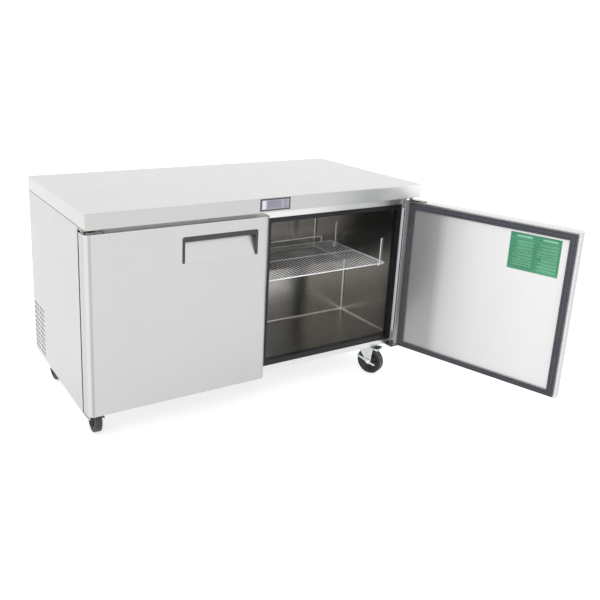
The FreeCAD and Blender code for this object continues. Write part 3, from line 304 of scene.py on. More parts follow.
def moulded(name, colour, rough=(0.4, 0.55), grain=900.0, depth=0.00006, dust=0.25, coat=0.0,
            specular=0.4):
    """Moulded plastic or rubber: fine pebbled grain, paler dust in the lows, worn highs."""
    paint = Paint(name, Coat_Weight=coat, Specular_IOR_Level=specular)
    pebble = paint.voronoi(grain)
    fine = paint.noise(grain * 2.2, 2.0)
    cloud = paint.noise(9.0, 5.0, 0.6)
    tone = paint.ramp(cloud, [(0.3, shade(colour, 0.86)), (0.72, shade(colour, 1.16))])
    dusty = tuple(part + 0.10 for part in colour)
    amount = paint.ramp(paint.noise(38.0, 5.0, 0.7), [(0.5, 0.0), (0.85, dust)])
    paint.colour(paint.mix(tone, dusty, amount))
    paint.rough(cloud, *rough)
    paint.bump(pebble, depth, 0.5)
    paint.bump(fine, depth * 0.6, 0.4)
    return paint.material


def build_materials():
    """Makes each material once, in a table by the name that the pieces use."""
    table = {}
    # The outside steel is one stainless in copies of different tones, set to match how light falls:
    # the top lightest, then the face frame, the doors and the sides. This is painted light and
    # shade.
    table["steel_top"] = steel("steel_top", (0.74, 0.74, 0.732), "X", tones=(worktop_painted_shade_and_light,))
    table["steel_frame"] = steel("steel_frame", (0.68, 0.68, 0.685), "X")
    # This steel is painted dark, as painted shade for the louvre slots.
    table["steel_slat"] = steel("steel_slat", (0.30, 0.30, 0.30), "X")
    opened = math.radians(-JOINTS["right_door_hinge"]["range_deg"][0])
    hinge_ways = {"left": (-1, 0, 0), "right": (math.cos(opened), math.sin(opened), 0)}
    for side_name, way in hinge_ways.items():
        table[side_name + "_door_steel"] = door_steel(side_name + "_door_steel", way)
        table[side_name + "_liner_steel"] = door_liner(side_name + "_liner_steel", way)
    table["steel_side"] = steel("steel_side", (0.515, 0.515, 0.512), "Z")
    # The liner's steel is set far darker than the outside steel, painted shade for the dim inside;
    # the coves are the same steel set lighter, a painted highlight along the inside corners.
    table["steel_inside"] = steel("steel_inside", (0.375, 0.365, 0.345), "X", 0.19, 0.2,
                                  0.000001, 0.01, smear=0.86, waviness=0.004,
                                  tones=(inside_painted_shade,))
    table["steel_cove"] = steel("steel_cove", (0.60, 0.58, 0.55), "X", 0.3, 0.42)
    table["cap_metal"] = bright("cap_metal", (0.56, 0.56, 0.56), 0.14, 0.28)
    table["hinge_metal"] = bright("hinge_metal", (0.34, 0.335, 0.32), 0.1, 0.26, blotch=0.4)
    table["galvanised"] = galvanised()
    table["gloss_black"] = moulded("gloss_black", (0.010, 0.010, 0.012), (0.12, 0.24), 260.0,
                                   0.00001, 0.05, specular=0.25)
    table["gasket"] = moulded("gasket_rubber", (0.044, 0.045, 0.055), (0.5, 0.68), 1300.0)
    table["dark_plastic"] = moulded("dark_plastic", (0.030, 0.030, 0.031), (0.38, 0.55))
    table["key_plastic"] = moulded("key_plastic", (0.20, 0.195, 0.24), (0.35, 0.5))
    table["face_plastic"] = moulded("face_plastic", (0.25, 0.24, 0.30), (0.2, 0.34), 500.0,
                                    0.00002, 0.1)
    table["green_sheet"] = moulded("green_sheet", (0.036, 0.205, 0.105), (0.38, 0.5), 500.0,
                                   0.00002, 0.06)
    table["wire_coat"] = moulded("wire_coat", (0.86, 0.87, 0.90), (0.2, 0.34), 420.0, 0.00003,
                                 0.06)
    table["black_plastic"] = moulded("black_plastic", (0.02, 0.02, 0.021), (0.4, 0.55))
    table["wheel_plastic"] = moulded("wheel_plastic", (0.014, 0.014, 0.015), (0.4, 0.55))
    table["black_paint"] = moulded("black_paint", (0.016, 0.016, 0.017), (0.25, 0.4), 500.0,
                                   0.00003, 0.2)
    table["tyre"] = moulded("tyre_rubber", (0.012, 0.012, 0.013), (0.45, 0.65), 1100.0, 0.00005,
                            0.3)
    table["tread"] = moulded("tread_rubber", (0.060, 0.059, 0.066), (0.4, 0.55), 1100.0, 0.00005,
                             0.5)
    table["foam"] = moulded("foam", (0.66, 0.56, 0.34), (0.8, 0.9), 240.0, 0.0002)
    table["aluminium_fins"] = fins()
    table["copper"] = copper()
    table["bright_steel"] = bright("bright_steel", (0.82, 0.82, 0.82), 0.08, 0.2)
    table["pale_print"] = moulded("pale_print", (0.19, 0.42, 0.29), (0.4, 0.5), 500.0, 0.00001,
                                  0.03)
    table["window_plastic"] = moulded("window_plastic", (0.17, 0.165, 0.21), (0.08, 0.16), 500.0,
                                      0.00001, 0.05, coat=0.6)
    table["pale_lilac"] = moulded("pale_lilac", (0.50, 0.49, 0.55), (0.25, 0.4), 500.0, 0.00001,
                                  0.05)
    table["zinc"] = bright("zinc_plate", (0.66, 0.70, 0.68), 0.24, 0.42, blotch=0.1)
    return table


def galvanised():
    """Zinc-coated sheet with spangles."""
    paint = Paint("galvanised_sheet", Metallic=1.0)
    spangle = paint.voronoi(130.0, output="Color")
    grey = paint.ramp(spangle, [(0.1, (0.37, 0.385, 0.39)), (0.9, (0.45, 0.465, 0.47))])
    cloud = paint.noise(5.0, 5.0, 0.6)
    paint.colour(paint.mix(grey, paint.ramp(cloud, [(0.3, 0.88), (0.7, 1.0)]), 1.0, "MULTIPLY"))
    paint.rough(spangle, 0.34, 0.5)
    paint.bump(paint.noise(160.0, 3.0), 0.00008, 0.4)
    return paint.material


def fins():
    """Stacked fins of a coil: pale edges, with painted shade in the fine gaps between them."""
    paint = Paint("aluminium_fins", Metallic=1.0)
    wave = paint.add("ShaderNodeTexWave", Scale=160.0, Distortion=0.4)
    paint.link(paint.place, wave.inputs["Vector"])
    cloud = paint.noise(20.0, 4.0)
    paint.colour(paint.ramp(wave.outputs["Fac"], [(0.2, 0.30), (0.6, 0.72)]))
    paint.rough(cloud, 0.3, 0.5)
    paint.bump(wave.outputs["Fac"], 0.0006)
    return paint.material


def copper():
    """Drawn copper tube, cloudy with tarnish."""
    paint = Paint("copper_tube", Metallic=1.0)
    cloud = paint.noise(30.0, 5.0, 0.65)
    paint.colour(paint.ramp(cloud, [(0.3, (0.42, 0.17, 0.10)), (0.7, (0.72, 0.36, 0.22))]))
    paint.rough(cloud, 0.22, 0.45)
    paint.bump(paint.noise(400.0, 2.0), 0.00003, 0.4)
    return paint.material


def bright(name, colour, low, high, blotch=0.05):
    """Plated or polished metal: faint cloudiness, fine scratches."""
    paint = Paint(name, Metallic=1.0)
    cloud = paint.noise(26.0, 5.0, 0.65)
    scratch = paint.noise(1.0, 3.0, 0.6, (60.0, 700.0, 200.0))
    paint.colour(paint.ramp(cloud, [(0.3, shade(colour, 1 - blotch)), (0.7, colour)]))
    paint.rough(paint.maths("MULTIPLY", paint.maths("ADD", cloud, scratch), 0.5), low, high)
    paint.bump(scratch, 0.00002, 0.5)
    return paint.material


MATERIALS = build_materials()

NODE_PAINT = {
    "worktop": "steel_top", "left_side_panel": "steel_side", "right_side_panel": "steel_side",
    "face_frame": "steel_frame", "left_door_skin": "left_door_steel",
    "right_door_skin": "right_door_steel",
    "left_door_liner": "left_liner_steel", "right_door_liner": "right_liner_steel",
    "cabinet_liner": "steel_inside", "shelf_posts": "steel_inside",
    "evaporator_cover": "steel_inside", "back_panel": "galvanised", "rear_grille": "galvanised",
    "base_pan": "galvanised", "condenser_shroud": "galvanised", "worktop_core": "foam",
    "cabinet_foam": "foam", "left_door_foam": "foam", "right_door_foam": "foam",
    "breaker_strips": "gloss_black", "left_door_gasket": "gasket", "right_door_gasket": "gasket",
    "left_door_caps": "cap_metal", "right_door_caps": "cap_metal",
    "left_door_grip": "dark_plastic", "right_door_grip": "dark_plastic",
    "controller_bezel": "dark_plastic", "cable_gland": "dark_plastic", "up_key": "key_plastic",
    "down_key": "key_plastic", "controller_face": "face_plastic",
    "right_door_placard": "green_sheet", "left_shelf": "wire_coat", "right_shelf": "wire_coat",
    "shelf_hooks": "wire_coat", "evaporator_coil": "aluminium_fins",
    "condenser_coil": "aluminium_fins", "evaporator_fan": "black_plastic",
    "condenser_fan": "black_plastic", "drain_pan": "black_plastic",
    "front_left_brake_pedal": "black_plastic", "front_right_brake_pedal": "black_plastic",
    "compressor": "black_paint", "fan_motors": "black_paint", "refrigerant_lines": "copper",
    "hinge_brackets": "hinge_metal", "fasteners": "bright_steel", "caster_plates": "zinc",
}
CORNERS = ("front_left", "front_right", "rear_left", "rear_right")
for corner in CORNERS:
    NODE_PAINT[corner + "_fork"] = "zinc"
    NODE_PAINT[corner + "_hub"] = "wheel_plastic"
    NODE_PAINT[corner + "_tyre"] = "tyre"

# Width in millimetres of the rounding on the CAD nodes that have one.
BEVELS = {
    "worktop": 0.8, "left_side_panel": 0.4, "right_side_panel": 0.4, "left_door_caps": 0.8,
    "right_door_caps": 0.8, "left_door_grip": 1.0, "right_door_grip": 1.0,
    "controller_bezel": 0.6, "breaker_strips": 1.2, "hinge_brackets": 0.5,
    "caster_plates": 0.6, "cable_gland": 0.8, "up_key": 0.3, "down_key": 0.3,
    "controller_face": 0.2, "shelf_posts": 0.8, "evaporator_cover": 1.0, "drain_pan": 0.8,
}


def round_edges(obj, name, width, angle):
    """Rounds the edges that turn by more than an angle in degrees; the width is in millimetres."""
    rounding = obj.modifiers.new(name, "BEVEL")
    rounding.width = width * MM
    rounding.segments = 2
    rounding.limit_method = "ANGLE"
    rounding.angle_limit = math.radians(angle)
    return rounding


def dress(node_name, paint_name):
    """Gives a CAD node its material and softens its edges."""
    obj = NODES[node_name]
    obj.data.materials.clear()
    obj.data.materials.append(MATERIALS[paint_name])
    weld = obj.modifiers.new("weld", "WELD")
    weld.merge_threshold = 1e-6
    flat = obj.modifiers.new("flat", "DECIMATE")
    flat.decimate_type = "DISSOLVE"
    flat.angle_limit = math.radians(0.3)
    if node_name in BEVELS:
        round_edges(obj, "bevel", BEVELS[node_name], 40).harden_normals = True
    obj.modifiers.new("normals", "WEIGHTED_NORMAL").keep_sharp = True


for node_name, paint_name in NODE_PAINT.items():
    dress(node_name, paint_name)


# ------------------------------------------------------------------ mesh helpers

def soften(bm, limit):
    """Smooth faces, with sharp edges wherever the surface turns by more than the limit."""
    for face in bm.faces:
        face.smooth = True
    for edge in bm.edges:
        edge.smooth = len(edge.link_faces) == 2 and edge.calc_face_angle(0) < math.radians(limit)


def piece(name, bm, paint, body, matrix=CABINET, replaces=(), bevel=0.0, limit=35):
    """Makes an object of a mesh built in millimetres, and puts it on its body."""
    bm.transform(matrix)
    if matrix.determinant() < 0:
        bmesh.ops.reverse_faces(bm, faces=bm.faces)
    soften(bm, limit)
    mesh = bpy.data.meshes.new(name)
    bm.to_mesh(mesh)
    bm.free()
    obj = bpy.data.objects.new(name, mesh)
    bpy.context.scene.collection.objects.link(obj)
    obj.data.materials.append(MATERIALS[paint])
    if bevel:
        round_edges(obj, "bevel", bevel, limit).harden_normals = True
    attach(obj, body)
    if replaces:
        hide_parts(*replaces)
    return obj


# Stands what is turned about X upright, so that the profile's distances along X become heights.
UPRIGHT = Matrix.Rotation(math.radians(-90), 4, "Y")


def add_box(bm, x, y, z, matrix=Matrix()):
    """Adds a box between pairs of millimetres."""
    size = Vector((x[1] - x[0], y[1] - y[0], z[1] - z[0]))
    middle = Vector(((x[0] + x[1]) / 2, (y[0] + y[1]) / 2, (z[0] + z[1]) / 2))
    placed = matrix @ Matrix.Translation(middle) @ Matrix.Diagonal((*size, 1))
    bmesh.ops.create_cube(bm, size=1.0, matrix=placed)


def bridge(bm, rings, loop=False, closed=True):
    """Adds the faces between each ring of points and the next, and returns them.

    With loop the last ring joins the first. Rings that aren't closed are open rows of points.
    """
    made = []
    for here, there in zip(rings, rings[1:] + rings[:1] if loop else rings[1:]):
        count = len(here)
        for index in range(count if closed else count - 1):
            after = (index + 1) % count
            made.append(bm.faces.new((here[index], here[after], there[after], there[index])))
    return made


def add_solid(bm, rings):
    """Adds the closed solid between two rings of points."""
    made = [bm.faces.new(ring) for ring in rings] + bridge(bm, rings)
    bmesh.ops.recalc_face_normals(bm, faces=made)


def add_prism(bm, outline, low, high, axis="X"):
    """Adds an extrusion of a closed outline along an axis."""
    order = {"X": lambda a, b, c: (c, a, b), "Y": lambda a, b, c: (a, c, b),
             "Z": lambda a, b, c: (a, b, c)}[axis]
    add_solid(bm, [[bm.verts.new(order(a, b, level)) for a, b in outline]
                   for level in (low, high)])


def add_lathe(bm, profile, segments, matrix, closed=True):
    """Adds a turned solid about X: the profile is a list of (along, radius).

    A profile that isn't closed starts and ends on the axis.
    """
    rings = []
    for step in range(segments):
        angle = 2 * math.pi * step / segments
        rings.append([bm.verts.new(matrix @ Vector((along, radius * math.cos(angle),
                                                    radius * math.sin(angle))))
                      for along, radius in profile])
    made = bridge(bm, rings, loop=True, closed=closed)
    bmesh.ops.remove_doubles(bm, verts=[v for ring in rings for v in ring], dist=1e-5)
    made = [face for face in made if face.is_valid]
    bmesh.ops.recalc_face_normals(bm, faces=made)


def circle(centre, radius, count, first, second):
    """Points on a circle in the plane of two ways that are square to each other."""
    return [centre + radius * (first * math.cos(2 * math.pi * k / count)
                               + second * math.sin(2 * math.pi * k / count))
            for k in range(count)]


def add_tube(bm, points, radius, sides, closed=False):
    """Adds a round wire along a list of points."""
    count = len(points)
    rings = []
    normal = None
    for index, point in enumerate(points):
        before = points[index - 1] if index or closed else points[index]
        after = points[(index + 1) % count] if index < count - 1 or closed else points[index]
        tangent = (after - before).normalized()
        if normal is None:
            normal = tangent.orthogonal().normalized()
        normal = (normal - tangent * normal.dot(tangent)).normalized()
        rings.append([bm.verts.new(place)
                      for place in circle(point, radius, sides, normal, tangent.cross(normal))])
    made = bridge(bm, rings, loop=closed)
    if not closed:
        made += [bm.faces.new(rings[0]), bm.faces.new(rings[-1])]
    bmesh.ops.recalc_face_normals(bm, faces=made)


# ------------------------------------------------------------------ doors

# The gasket's section, as (inset from the ring's outer edge, height over the liner).
GASKET_PROFILE = [
    (8, 0.1), (8, 2.6), (3.0, 3.6), (0.6, 5.0), (0, 7.2), (0.6, 9.6), (2.4, 11.1), (5.0, 11.3),
    (7.2, 10.2), (8.6, 8.4), (10.0, 10.0), (11.6, 11.3), (14.5, 11.65), (17.6, 11.3),
    (19.2, 10.0), (20.6, 8.4), (22.0, 10.2), (24.2, 11.3), (26.6, 11.1), (28.4, 9.6), (29, 7.2),
    (28.2, 5.0), (25.6, 3.6), (21, 2.6), (21, 0.1)]
# How wide the ring's bottom run is beside its other three.
BOTTOM_RUN = 0.76

# The placard on the right door's liner, and the rows of its print.
PLACARD_X, PLACARD_Z = (70.0, 275.0), (655.0, 809.0)
PLACARD_THICKNESS = 0.5
COLUMN_WIDTH = 82.0
ROW_HEIGHT, ROW_PITCH, BLOCK_GAP, WORD_GAP = 1.5, 3.5, 3.4, 1.8

# The window in a door's skin that the grip sits in.
GRIP_X, GRIP_TOP_Z = (65.0, 392.0), 808.0
GRIP_CORNER_RADIUS = 9.0


def build_gasket(side_name, side):
    """A bellows gasket, mitred at its four corners, with a narrower bottom run."""
    bm = bmesh.new()
    rings = []
    for inset, rise in GASKET_PROFILE:
        y = DOOR_BACK_Y + rise
        x0, x1 = GASKET_X[0] + inset, GASKET_X[1] - inset
        z0, z1 = GASKET_Z[0] + inset * BOTTOM_RUN, GASKET_Z[1] - inset
        rings.append([bm.verts.new(corner) for corner in ((x0, y, z0), (x1, y, z0), (x1, y, z1),
                                                          (x0, y, z1))])
    bmesh.ops.recalc_face_normals(bm, faces=bridge(bm, rings, loop=True))
    name = side_name + "_door_gasket"
    piece(name + "_bellows", bm, "gasket", side_name + "_door", door_matrix(side),
          replaces=(name,), limit=60)


def build_placard_print():
    """Pale blocks of ruled lines in two columns on the green sheet, with a plain header."""
    rng = random.Random(11)
    (low_x, high_x), (low_z, high_z) = PLACARD_X, PLACARD_Z
    face_y = DOOR_BACK_Y + PLACARD_THICKNESS
    bm = bmesh.new()
    ink = (face_y, face_y + 0.06)
    for start, end in ((14, 74), (116, 178)):
        add_box(bm, (low_x + start, low_x + end), ink, (high_z - 17, high_z - 9))
    for column in (low_x + 10, low_x + 110):
        z = high_z - 30
        while z > low_z + 16:
            for _ in range(rng.choice((2, 3, 3))):
                end = column + COLUMN_WIDTH * rng.uniform(0.72, 1.0)
                x = column
                while x < end - 4:
                    word = min(rng.uniform(5, 15), end - x)
                    add_box(bm, (x, x + word), ink, (z - ROW_HEIGHT, z))
                    x += word + WORD_GAP
                z -= ROW_PITCH
            z -= BLOCK_GAP
    piece("right_door_placard_print", bm, "pale_print", "right_door", door_matrix(1))
    bm = bmesh.new()
    for low in (high_z - 23, low_z + 5):
        add_box(bm, (low_x + 3, high_x - 3), (face_y, face_y + 0.03), (low, low + 0.8))
    piece("right_door_placard_rules", bm, "pale_print", "right_door", door_matrix(1))


# ------------------------------------------------------------------ casters

# A caster's own millimetres have x along its axle, y ahead of its swivel pin and z from the floor.
AXLE_Y, AXLE_Z = -38.0, 62.5
CROWN_Z = 138.7
LEG_X, LEG_LOW_Z = 23.0, 48.6
LEG_BEND, LEG_SWELL, FORK_GAUGE = 7.0, 1.6, 2.8
BOLT_REACH, NUT_RADIUS = 23.2, 6.9
TREAD_RADIUS, TREAD_BASE = 62.15, 59.2
WHEEL_SPOKES = 8
PEDAL_RIDGES = 5


def caster_matrix(corner):
    """From a caster's own millimetres to the row frame."""
    joint = JOINTS[corner + "_swivel"]
    axis = JOINTS[corner + "_roll"]["axis"]
    place = Vector((joint["pos_m"][0], joint["pos_m"][1], 0.0))
    turn = Matrix.Rotation(math.atan2(axis[1], axis[0]), 4, "Z")
    return Matrix.Translation(place) @ turn @ Matrix.Scale(MM, 4)


def clamp(value):
    return min(1.0, max(0.0, value))


def interpolate(edge, height):
    """The y of an edge at a height: the edge is a list of (z, y), from the top down."""
    for (z1, y1), (z0, y0) in zip(edge, edge[1:]):
        if height >= z0:
            return y0 + (y1 - y0) * clamp((height - z0) / (z1 - z0))
    return edge[-1][1]


def leg_edges(z):
    """Front and rear edge of a fork leg at a height."""
    fore = interpolate([(CROWN_Z, 25), (128, 24.6), (118, 20), (104, 7), (86, -8), (70, -19.5),
                        (60, -24), (54, -26), (50.5, -29.5), (LEG_LOW_Z, -36)], z)
    aft = interpolate([(CROWN_Z, -60), (128, -59.5), (116, -57.5), (98, -54.5), (80, -52.6),
                       (62, -51.5), (54, -50), (50.5, -46.5), (LEG_LOW_Z, -40)], z)
    return fore, aft


def build_fork(corner):
    """A pressed fork: two tapering legs bent down from a crown, with rolled edges."""
    bm = bmesh.new()
    heights = (LEG_LOW_Z, 50.5, 54, 60, 70, 78, 86, 95, 104, 112, 120, 127)
    path = [(-LEG_X, z) for z in heights]
    for k in range(1, 6):
        angle = math.radians(180 - 90 * k / 5)
        path.append((-LEG_X + LEG_BEND + LEG_BEND * math.cos(angle),
                     CROWN_Z - LEG_BEND + LEG_BEND * math.sin(angle)))
    path += [(-8.0, CROWN_Z), (0.0, CROWN_Z)]
    path += [(-x, z) for x, z in reversed(path[:-1])]
    columns = 12
    rows = []
    for x, z in path:
        fore, aft = leg_edges(z)
        flat = clamp((z - 60) / 30) * clamp((130 - z) / 12)
        row = []
        for k in range(columns + 1):
            swell = LEG_SWELL * flat * math.sin(math.pi * k / columns) ** 2
            row.append(bm.verts.new((x - math.copysign(swell, x) if abs(x) > 8 else x,
                                     aft + (fore - aft) * k / columns, z)))
        rows.append(row)
    bmesh.ops.recalc_face_normals(bm, faces=bridge(bm, rows, closed=False))
    obj = piece(corner + "_fork_pressing", bm, "zinc", corner + "_caster", caster_matrix(corner),
                replaces=(corner + "_fork",))
    thick = obj.modifiers.new("gauge", "SOLIDIFY")
    thick.thickness = FORK_GAUGE * MM
    thick.offset = -1.0
    round_edges(obj, "edge", 0.7, 50)


def build_axle(corner):
    """The bolt through the wheel, with a domed head at one side and a nut at the other."""
    bm = bmesh.new()
    reach = BOLT_REACH
    across = Matrix.Translation((0, AXLE_Y, AXLE_Z))
    add_lathe(bm, [(-reach - 4.4, 0), (-reach - 4.4, 5.0), (-reach - 3.4, 7.4), (-reach, 8.4),
                   (-reach, 5.0), (reach, 5.0), (reach, 9.6), (reach + 1.4, 9.6),
                   (reach + 1.4, 5.0), (reach + 7.6, 5.0), (reach + 8.4, 4.0),
                   (reach + 8.4, 0)], 32, across, closed=False)
    nut = [(NUT_RADIUS * math.cos(math.radians(60 * k + 10)) + AXLE_Y,
            NUT_RADIUS * math.sin(math.radians(60 * k + 10)) + AXLE_Z) for k in range(6)]
    add_prism(bm, nut, reach + 1.5, reach + 6.0)
    piece(corner + "_axle_bolt", bm, "bright_steel", corner + "_caster", caster_matrix(corner),
          bevel=0.4)


def build_swivel_race(corner):
    """The covered ring of balls between a fork's crown and its plate."""
    bm = bmesh.new()
    add_lathe(bm, [(CROWN_Z - 2.0, 0), (CROWN_Z - 2.0, 23), (CROWN_Z + 0.2, 25.2),
                   (CROWN_Z + 1.6, 24.0), (CROWN_Z + 2.6, 20), (CROWN_Z + 2.6, 6),
                   (CROWN_Z + 7.0, 6), (CROWN_Z + 7.0, 0)], 48, UPRIGHT, closed=False)
    piece(corner + "_swivel_race", bm, "zinc", corner + "_caster", caster_matrix(corner))


def build_brake_link(corner):
    """The flat lever beside the wheel, from the pedal's side down to behind the axle."""
    bm = bmesh.new()
    bar = [(18, 84), (21, 78), (16, 73.5), (-20, 62.5), (-30, 54), (-38, 51.5), (-46, 53),
           (-74, 48.5), (-78, 52), (-75, 56), (-50, 63), (-45, 71), (-36, 74), (-26, 73)]
    add_prism(bm, bar, -26.4, -23.4)
    piece(corner + "_brake_link", bm, "zinc", corner + "_caster", caster_matrix(corner),
          bevel=0.6)


def build_wheel(corner):
    """Moulded wheel: ribbed tyre with rounded shoulders on a spoked hub."""
    across = Matrix.Translation((0, AXLE_Y, AXLE_Z))
    tyre = [(-12.2, 47.0), (-13.8, 47.4), (-15.2, 48.6), (-16.0, 51.0), (-16.0, 56.0),
            (-15.4, 58.6), (-14.6, 59.6), (14.6, 59.6), (15.4, 58.6), (16.0, 56.0), (16.0, 51.0),
            (15.2, 48.6), (13.8, 47.4), (12.2, 47.0)]
    bm = bmesh.new()
    add_lathe(bm, tyre, 96, across)
    piece(corner + "_tyre_body", bm, "tyre", corner + "_wheel", caster_matrix(corner),
          replaces=(corner + "_tyre",), limit=40)
    bm = bmesh.new()
    for middle, half in ((-11.6, 2.6), (-3.9, 2.2), (3.9, 2.2), (11.6, 2.6)):
        low, high = middle - half, middle + half
        add_lathe(bm, [(low, TREAD_BASE), (low, 61.3), (low + 0.9, TREAD_RADIUS),
                       (high - 0.9, TREAD_RADIUS), (high, 61.3), (high, TREAD_BASE)], 96, across)
    piece(corner + "_tyre_ribs", bm, "tread", corner + "_wheel", caster_matrix(corner), limit=50)

    hub = [(-18.4, 5.2), (18.4, 5.2), (18.4, 12.4), (17.2, 14.0), (13.0, 15.6), (6.6, 19.0),
           (5.2, 24.0), (5.2, 37.0), (6.8, 40.6), (12.4, 43.0), (13.2, 44.4), (13.2, 47.6),
           (-13.2, 47.6), (-13.2, 44.4), (-12.4, 43.0), (-6.8, 40.6), (-5.2, 37.0),
           (-5.2, 24.0), (-6.6, 19.0), (-13.0, 15.6), (-17.2, 14.0), (-18.4, 12.4)]
    bm = bmesh.new()
    add_lathe(bm, hub, 72, across)
    for number in range(WHEEL_SPOKES):
        turn = across @ Matrix.Rotation(2 * math.pi * number / WHEEL_SPOKES, 4, "X")
        add_box(bm, (-11.4, 11.4), (-2.0, 2.0), (13.5, 43.4), turn)
    piece(corner + "_spoked_hub", bm, "wheel_plastic", corner + "_wheel", caster_matrix(corner),
          replaces=(corner + "_hub",), bevel=0.6, limit=45)


def build_pedal(corner):
    """Brake pedal: a zinc tongue between the legs with a ribbed black toe pad."""
    matrix, body = caster_matrix(corner), corner + "_pedal"
    node_name = corner + "_brake_pedal"
    bm = bmesh.new()
    add_prism(bm, [(-46, 127.4), (-46, 131.6), (-56, 132.2), (-83.6, 135.6), (-86.4, 132.8),
                   (-80.6, 122.4), (-70, 123.4), (-54, 127.0)], -18.5, 18.5)
    piece(node_name + "_tongue", bm, "zinc", body, matrix, bevel=0.8)
    bm = bmesh.new()
    toe = [(-62.5, 133.2), (-83, 135.8), (-84, 138.4), (-80, 139.0), (-66, 137.2),
           (-62.8, 136.2)]
    add_prism(bm, toe, -21.5, 21.5)
    for number in range(PEDAL_RIDGES):
        x = 8 * (number - (PEDAL_RIDGES - 1) / 2)
        add_prism(bm, [(-66, 136.8), (-80, 138.6), (-80, 139.4), (-66, 137.6)], x - 1.5, x + 1.5)
    piece(node_name + "_pad", bm, "black_plastic", body, matrix, replaces=(node_name,),
          bevel=0.7)


# ------------------------------------------------------------------ controller

def build_controller():
    """Display window, label strip and the arrows on both keys."""
    face_y = local_box("controller_face")[0][1]
    bm = bmesh.new()
    add_box(bm, (-36, 26), (face_y - 0.4, face_y + 0.1), (890.5, 919.5))
    piece("controller_window", bm, "window_plastic", "cabinet", bevel=0.35)
    bm = bmesh.new()
    add_box(bm, (-60, -43), (face_y - 0.25, face_y + 0.1), (887.5, 922.5))
    piece("controller_label_strip", bm, "pale_lilac", "cabinet", bevel=0.2)
    for name, arrow in (("up", ((-2.6, -1.6), (2.6, -1.6), (0, 2.2))),
                        ("down", ((-2.6, 1.6), (0, -2.2), (2.6, 1.6)))):
        low, high = local_box(name + "_key")
        middle_x, middle_z = (low[0] + high[0]) / 2, (low[2] + high[2]) / 2
        bm = bmesh.new()
        add_prism(bm, [(middle_x + x, middle_z + z) for x, z in arrow], low[1] - 0.2,
                  low[1] + 0.02, "Y")
        piece(name + "_key_mark", bm, "face_plastic", name + "_button")


# ------------------------------------------------------------------ cabinet details

LOUVRE_ROWS = 10
LOUVRE_LOW_Z, LOUVRE_PITCH, LOUVRE_HEIGHT = 168.0, 22.0, 9.0
LOUVRE_FRONT_Y, LOUVRE_REAR_Y = 598.0, 748.0


def build_louvres():
    """Slats that rise behind each louvre slot, in steel painted dark as the slots' shade, and the
    ribs that split a bank in two columns.
    """
    skin = HALF_WIDTH - 1.0
    middle = (LOUVRE_FRONT_Y + LOUVRE_REAR_Y) / 2
    for side_name, side in (("left", -1), ("right", 1)):
        bm, ribs = bmesh.new(), bmesh.new()
        for row in range(LOUVRE_ROWS):
            low = LOUVRE_LOW_Z + LOUVRE_PITCH * row
            slat = [(skin, low + 0.2), (skin, low + 1.2), (skin - 6.4, low + 8.6),
                    (skin - 7.0, low + 8.0)]
            add_prism(bm, [(side * x, z) for x, z in slat], LOUVRE_FRONT_Y + 0.5,
                      LOUVRE_REAR_Y - 0.5, "Y")
            add_box(ribs, span(side, skin - 0.1, skin + 0.95), (middle - 6.0, middle + 6.0),
                    (low + 0.02, low + LOUVRE_HEIGHT - 0.02))
        piece(side_name + "_louvre_slats", bm, "steel_slat", "cabinet")
        piece(side_name + "_louvre_ribs", ribs, "steel_side", "cabinet")


def build_beads():
    """Black strips in the gap under the worktop and down the outer edges of the stiles: painted
    shade for those gaps, also hiding the foam behind.
    """
    bm = bmesh.new()
    gap_z = (WORKTOP_LOW_Z - 2.4, WORKTOP_LOW_Z - 0.1)
    stile_y, stile_z = (FRAME_Y - 0.8, FRAME_Y - 0.05), (206.0, 804.0)
    for side in (1, -1):
        add_box(bm, span(side, HALF_WIDTH - 3.0, HALF_WIDTH - 0.4), (90.0, DEPTH - 0.6), gap_z)
        add_box(bm, span(side, HALF_WIDTH - 7.5, HALF_WIDTH - 1.4), stile_y, stile_z)
    add_box(bm, (3.0 - HALF_WIDTH, HALF_WIDTH - 3.0), (DEPTH - 3.0, DEPTH - 0.4), gap_z)
    piece("gap_shade_beads", bm, "black_plastic", "cabinet")


def build_hinge_collars():
    """Bushings round the hinge pins, and the packing blocks over the upper brackets."""
    bm = bmesh.new()
    for side in (1, -1):
        pin = Matrix.Translation((side * HINGE_X, HINGE_Y, 0.0)) @ UPRIGHT
        add_lathe(bm, [(857.2, 4.3), (857.2, 6.4), (858.0, 7.6), (861.0, 7.6), (861.8, 6.8),
                       (861.8, 4.3)], 40, pin)
        add_box(bm, span(side, 728.0, HALF_WIDTH - 0.6), (39.0, 83.6),
                (866.0, WORKTOP_LOW_Z - 0.3))
    piece("hinge_collars", bm, "hinge_metal", "cabinet", bevel=0.8)


def build_hinge_arms(side_name, side):
    """Plates screwed to a door's caps, each with an eye round its hinge pin."""
    bm = bmesh.new()
    pin = Matrix.Translation((HINGE_X, HINGE_Y, 0.0)) @ UPRIGHT
    eye_x = HINGE_X - 6.4
    plate = [(eye_x, 43.0), (eye_x, 57.0), (740.0, 66.0), (688.0, 66.0), (682.0, 60.0),
             (682.0, 40.0), (688.0, 34.0), (738.0, 34.0)]
    for low, high in ((853.1, 856.9), (151.9, 154.8)):
        add_lathe(bm, [(low, 4.4), (low, 7.9), (high, 7.9), (high, 4.4)], 40, pin)
        add_prism(bm, plate, low, high, "Z")
    piece(side_name + "_hinge_arms", bm, "hinge_metal", side_name + "_door", door_matrix(side),
          bevel=0.5)


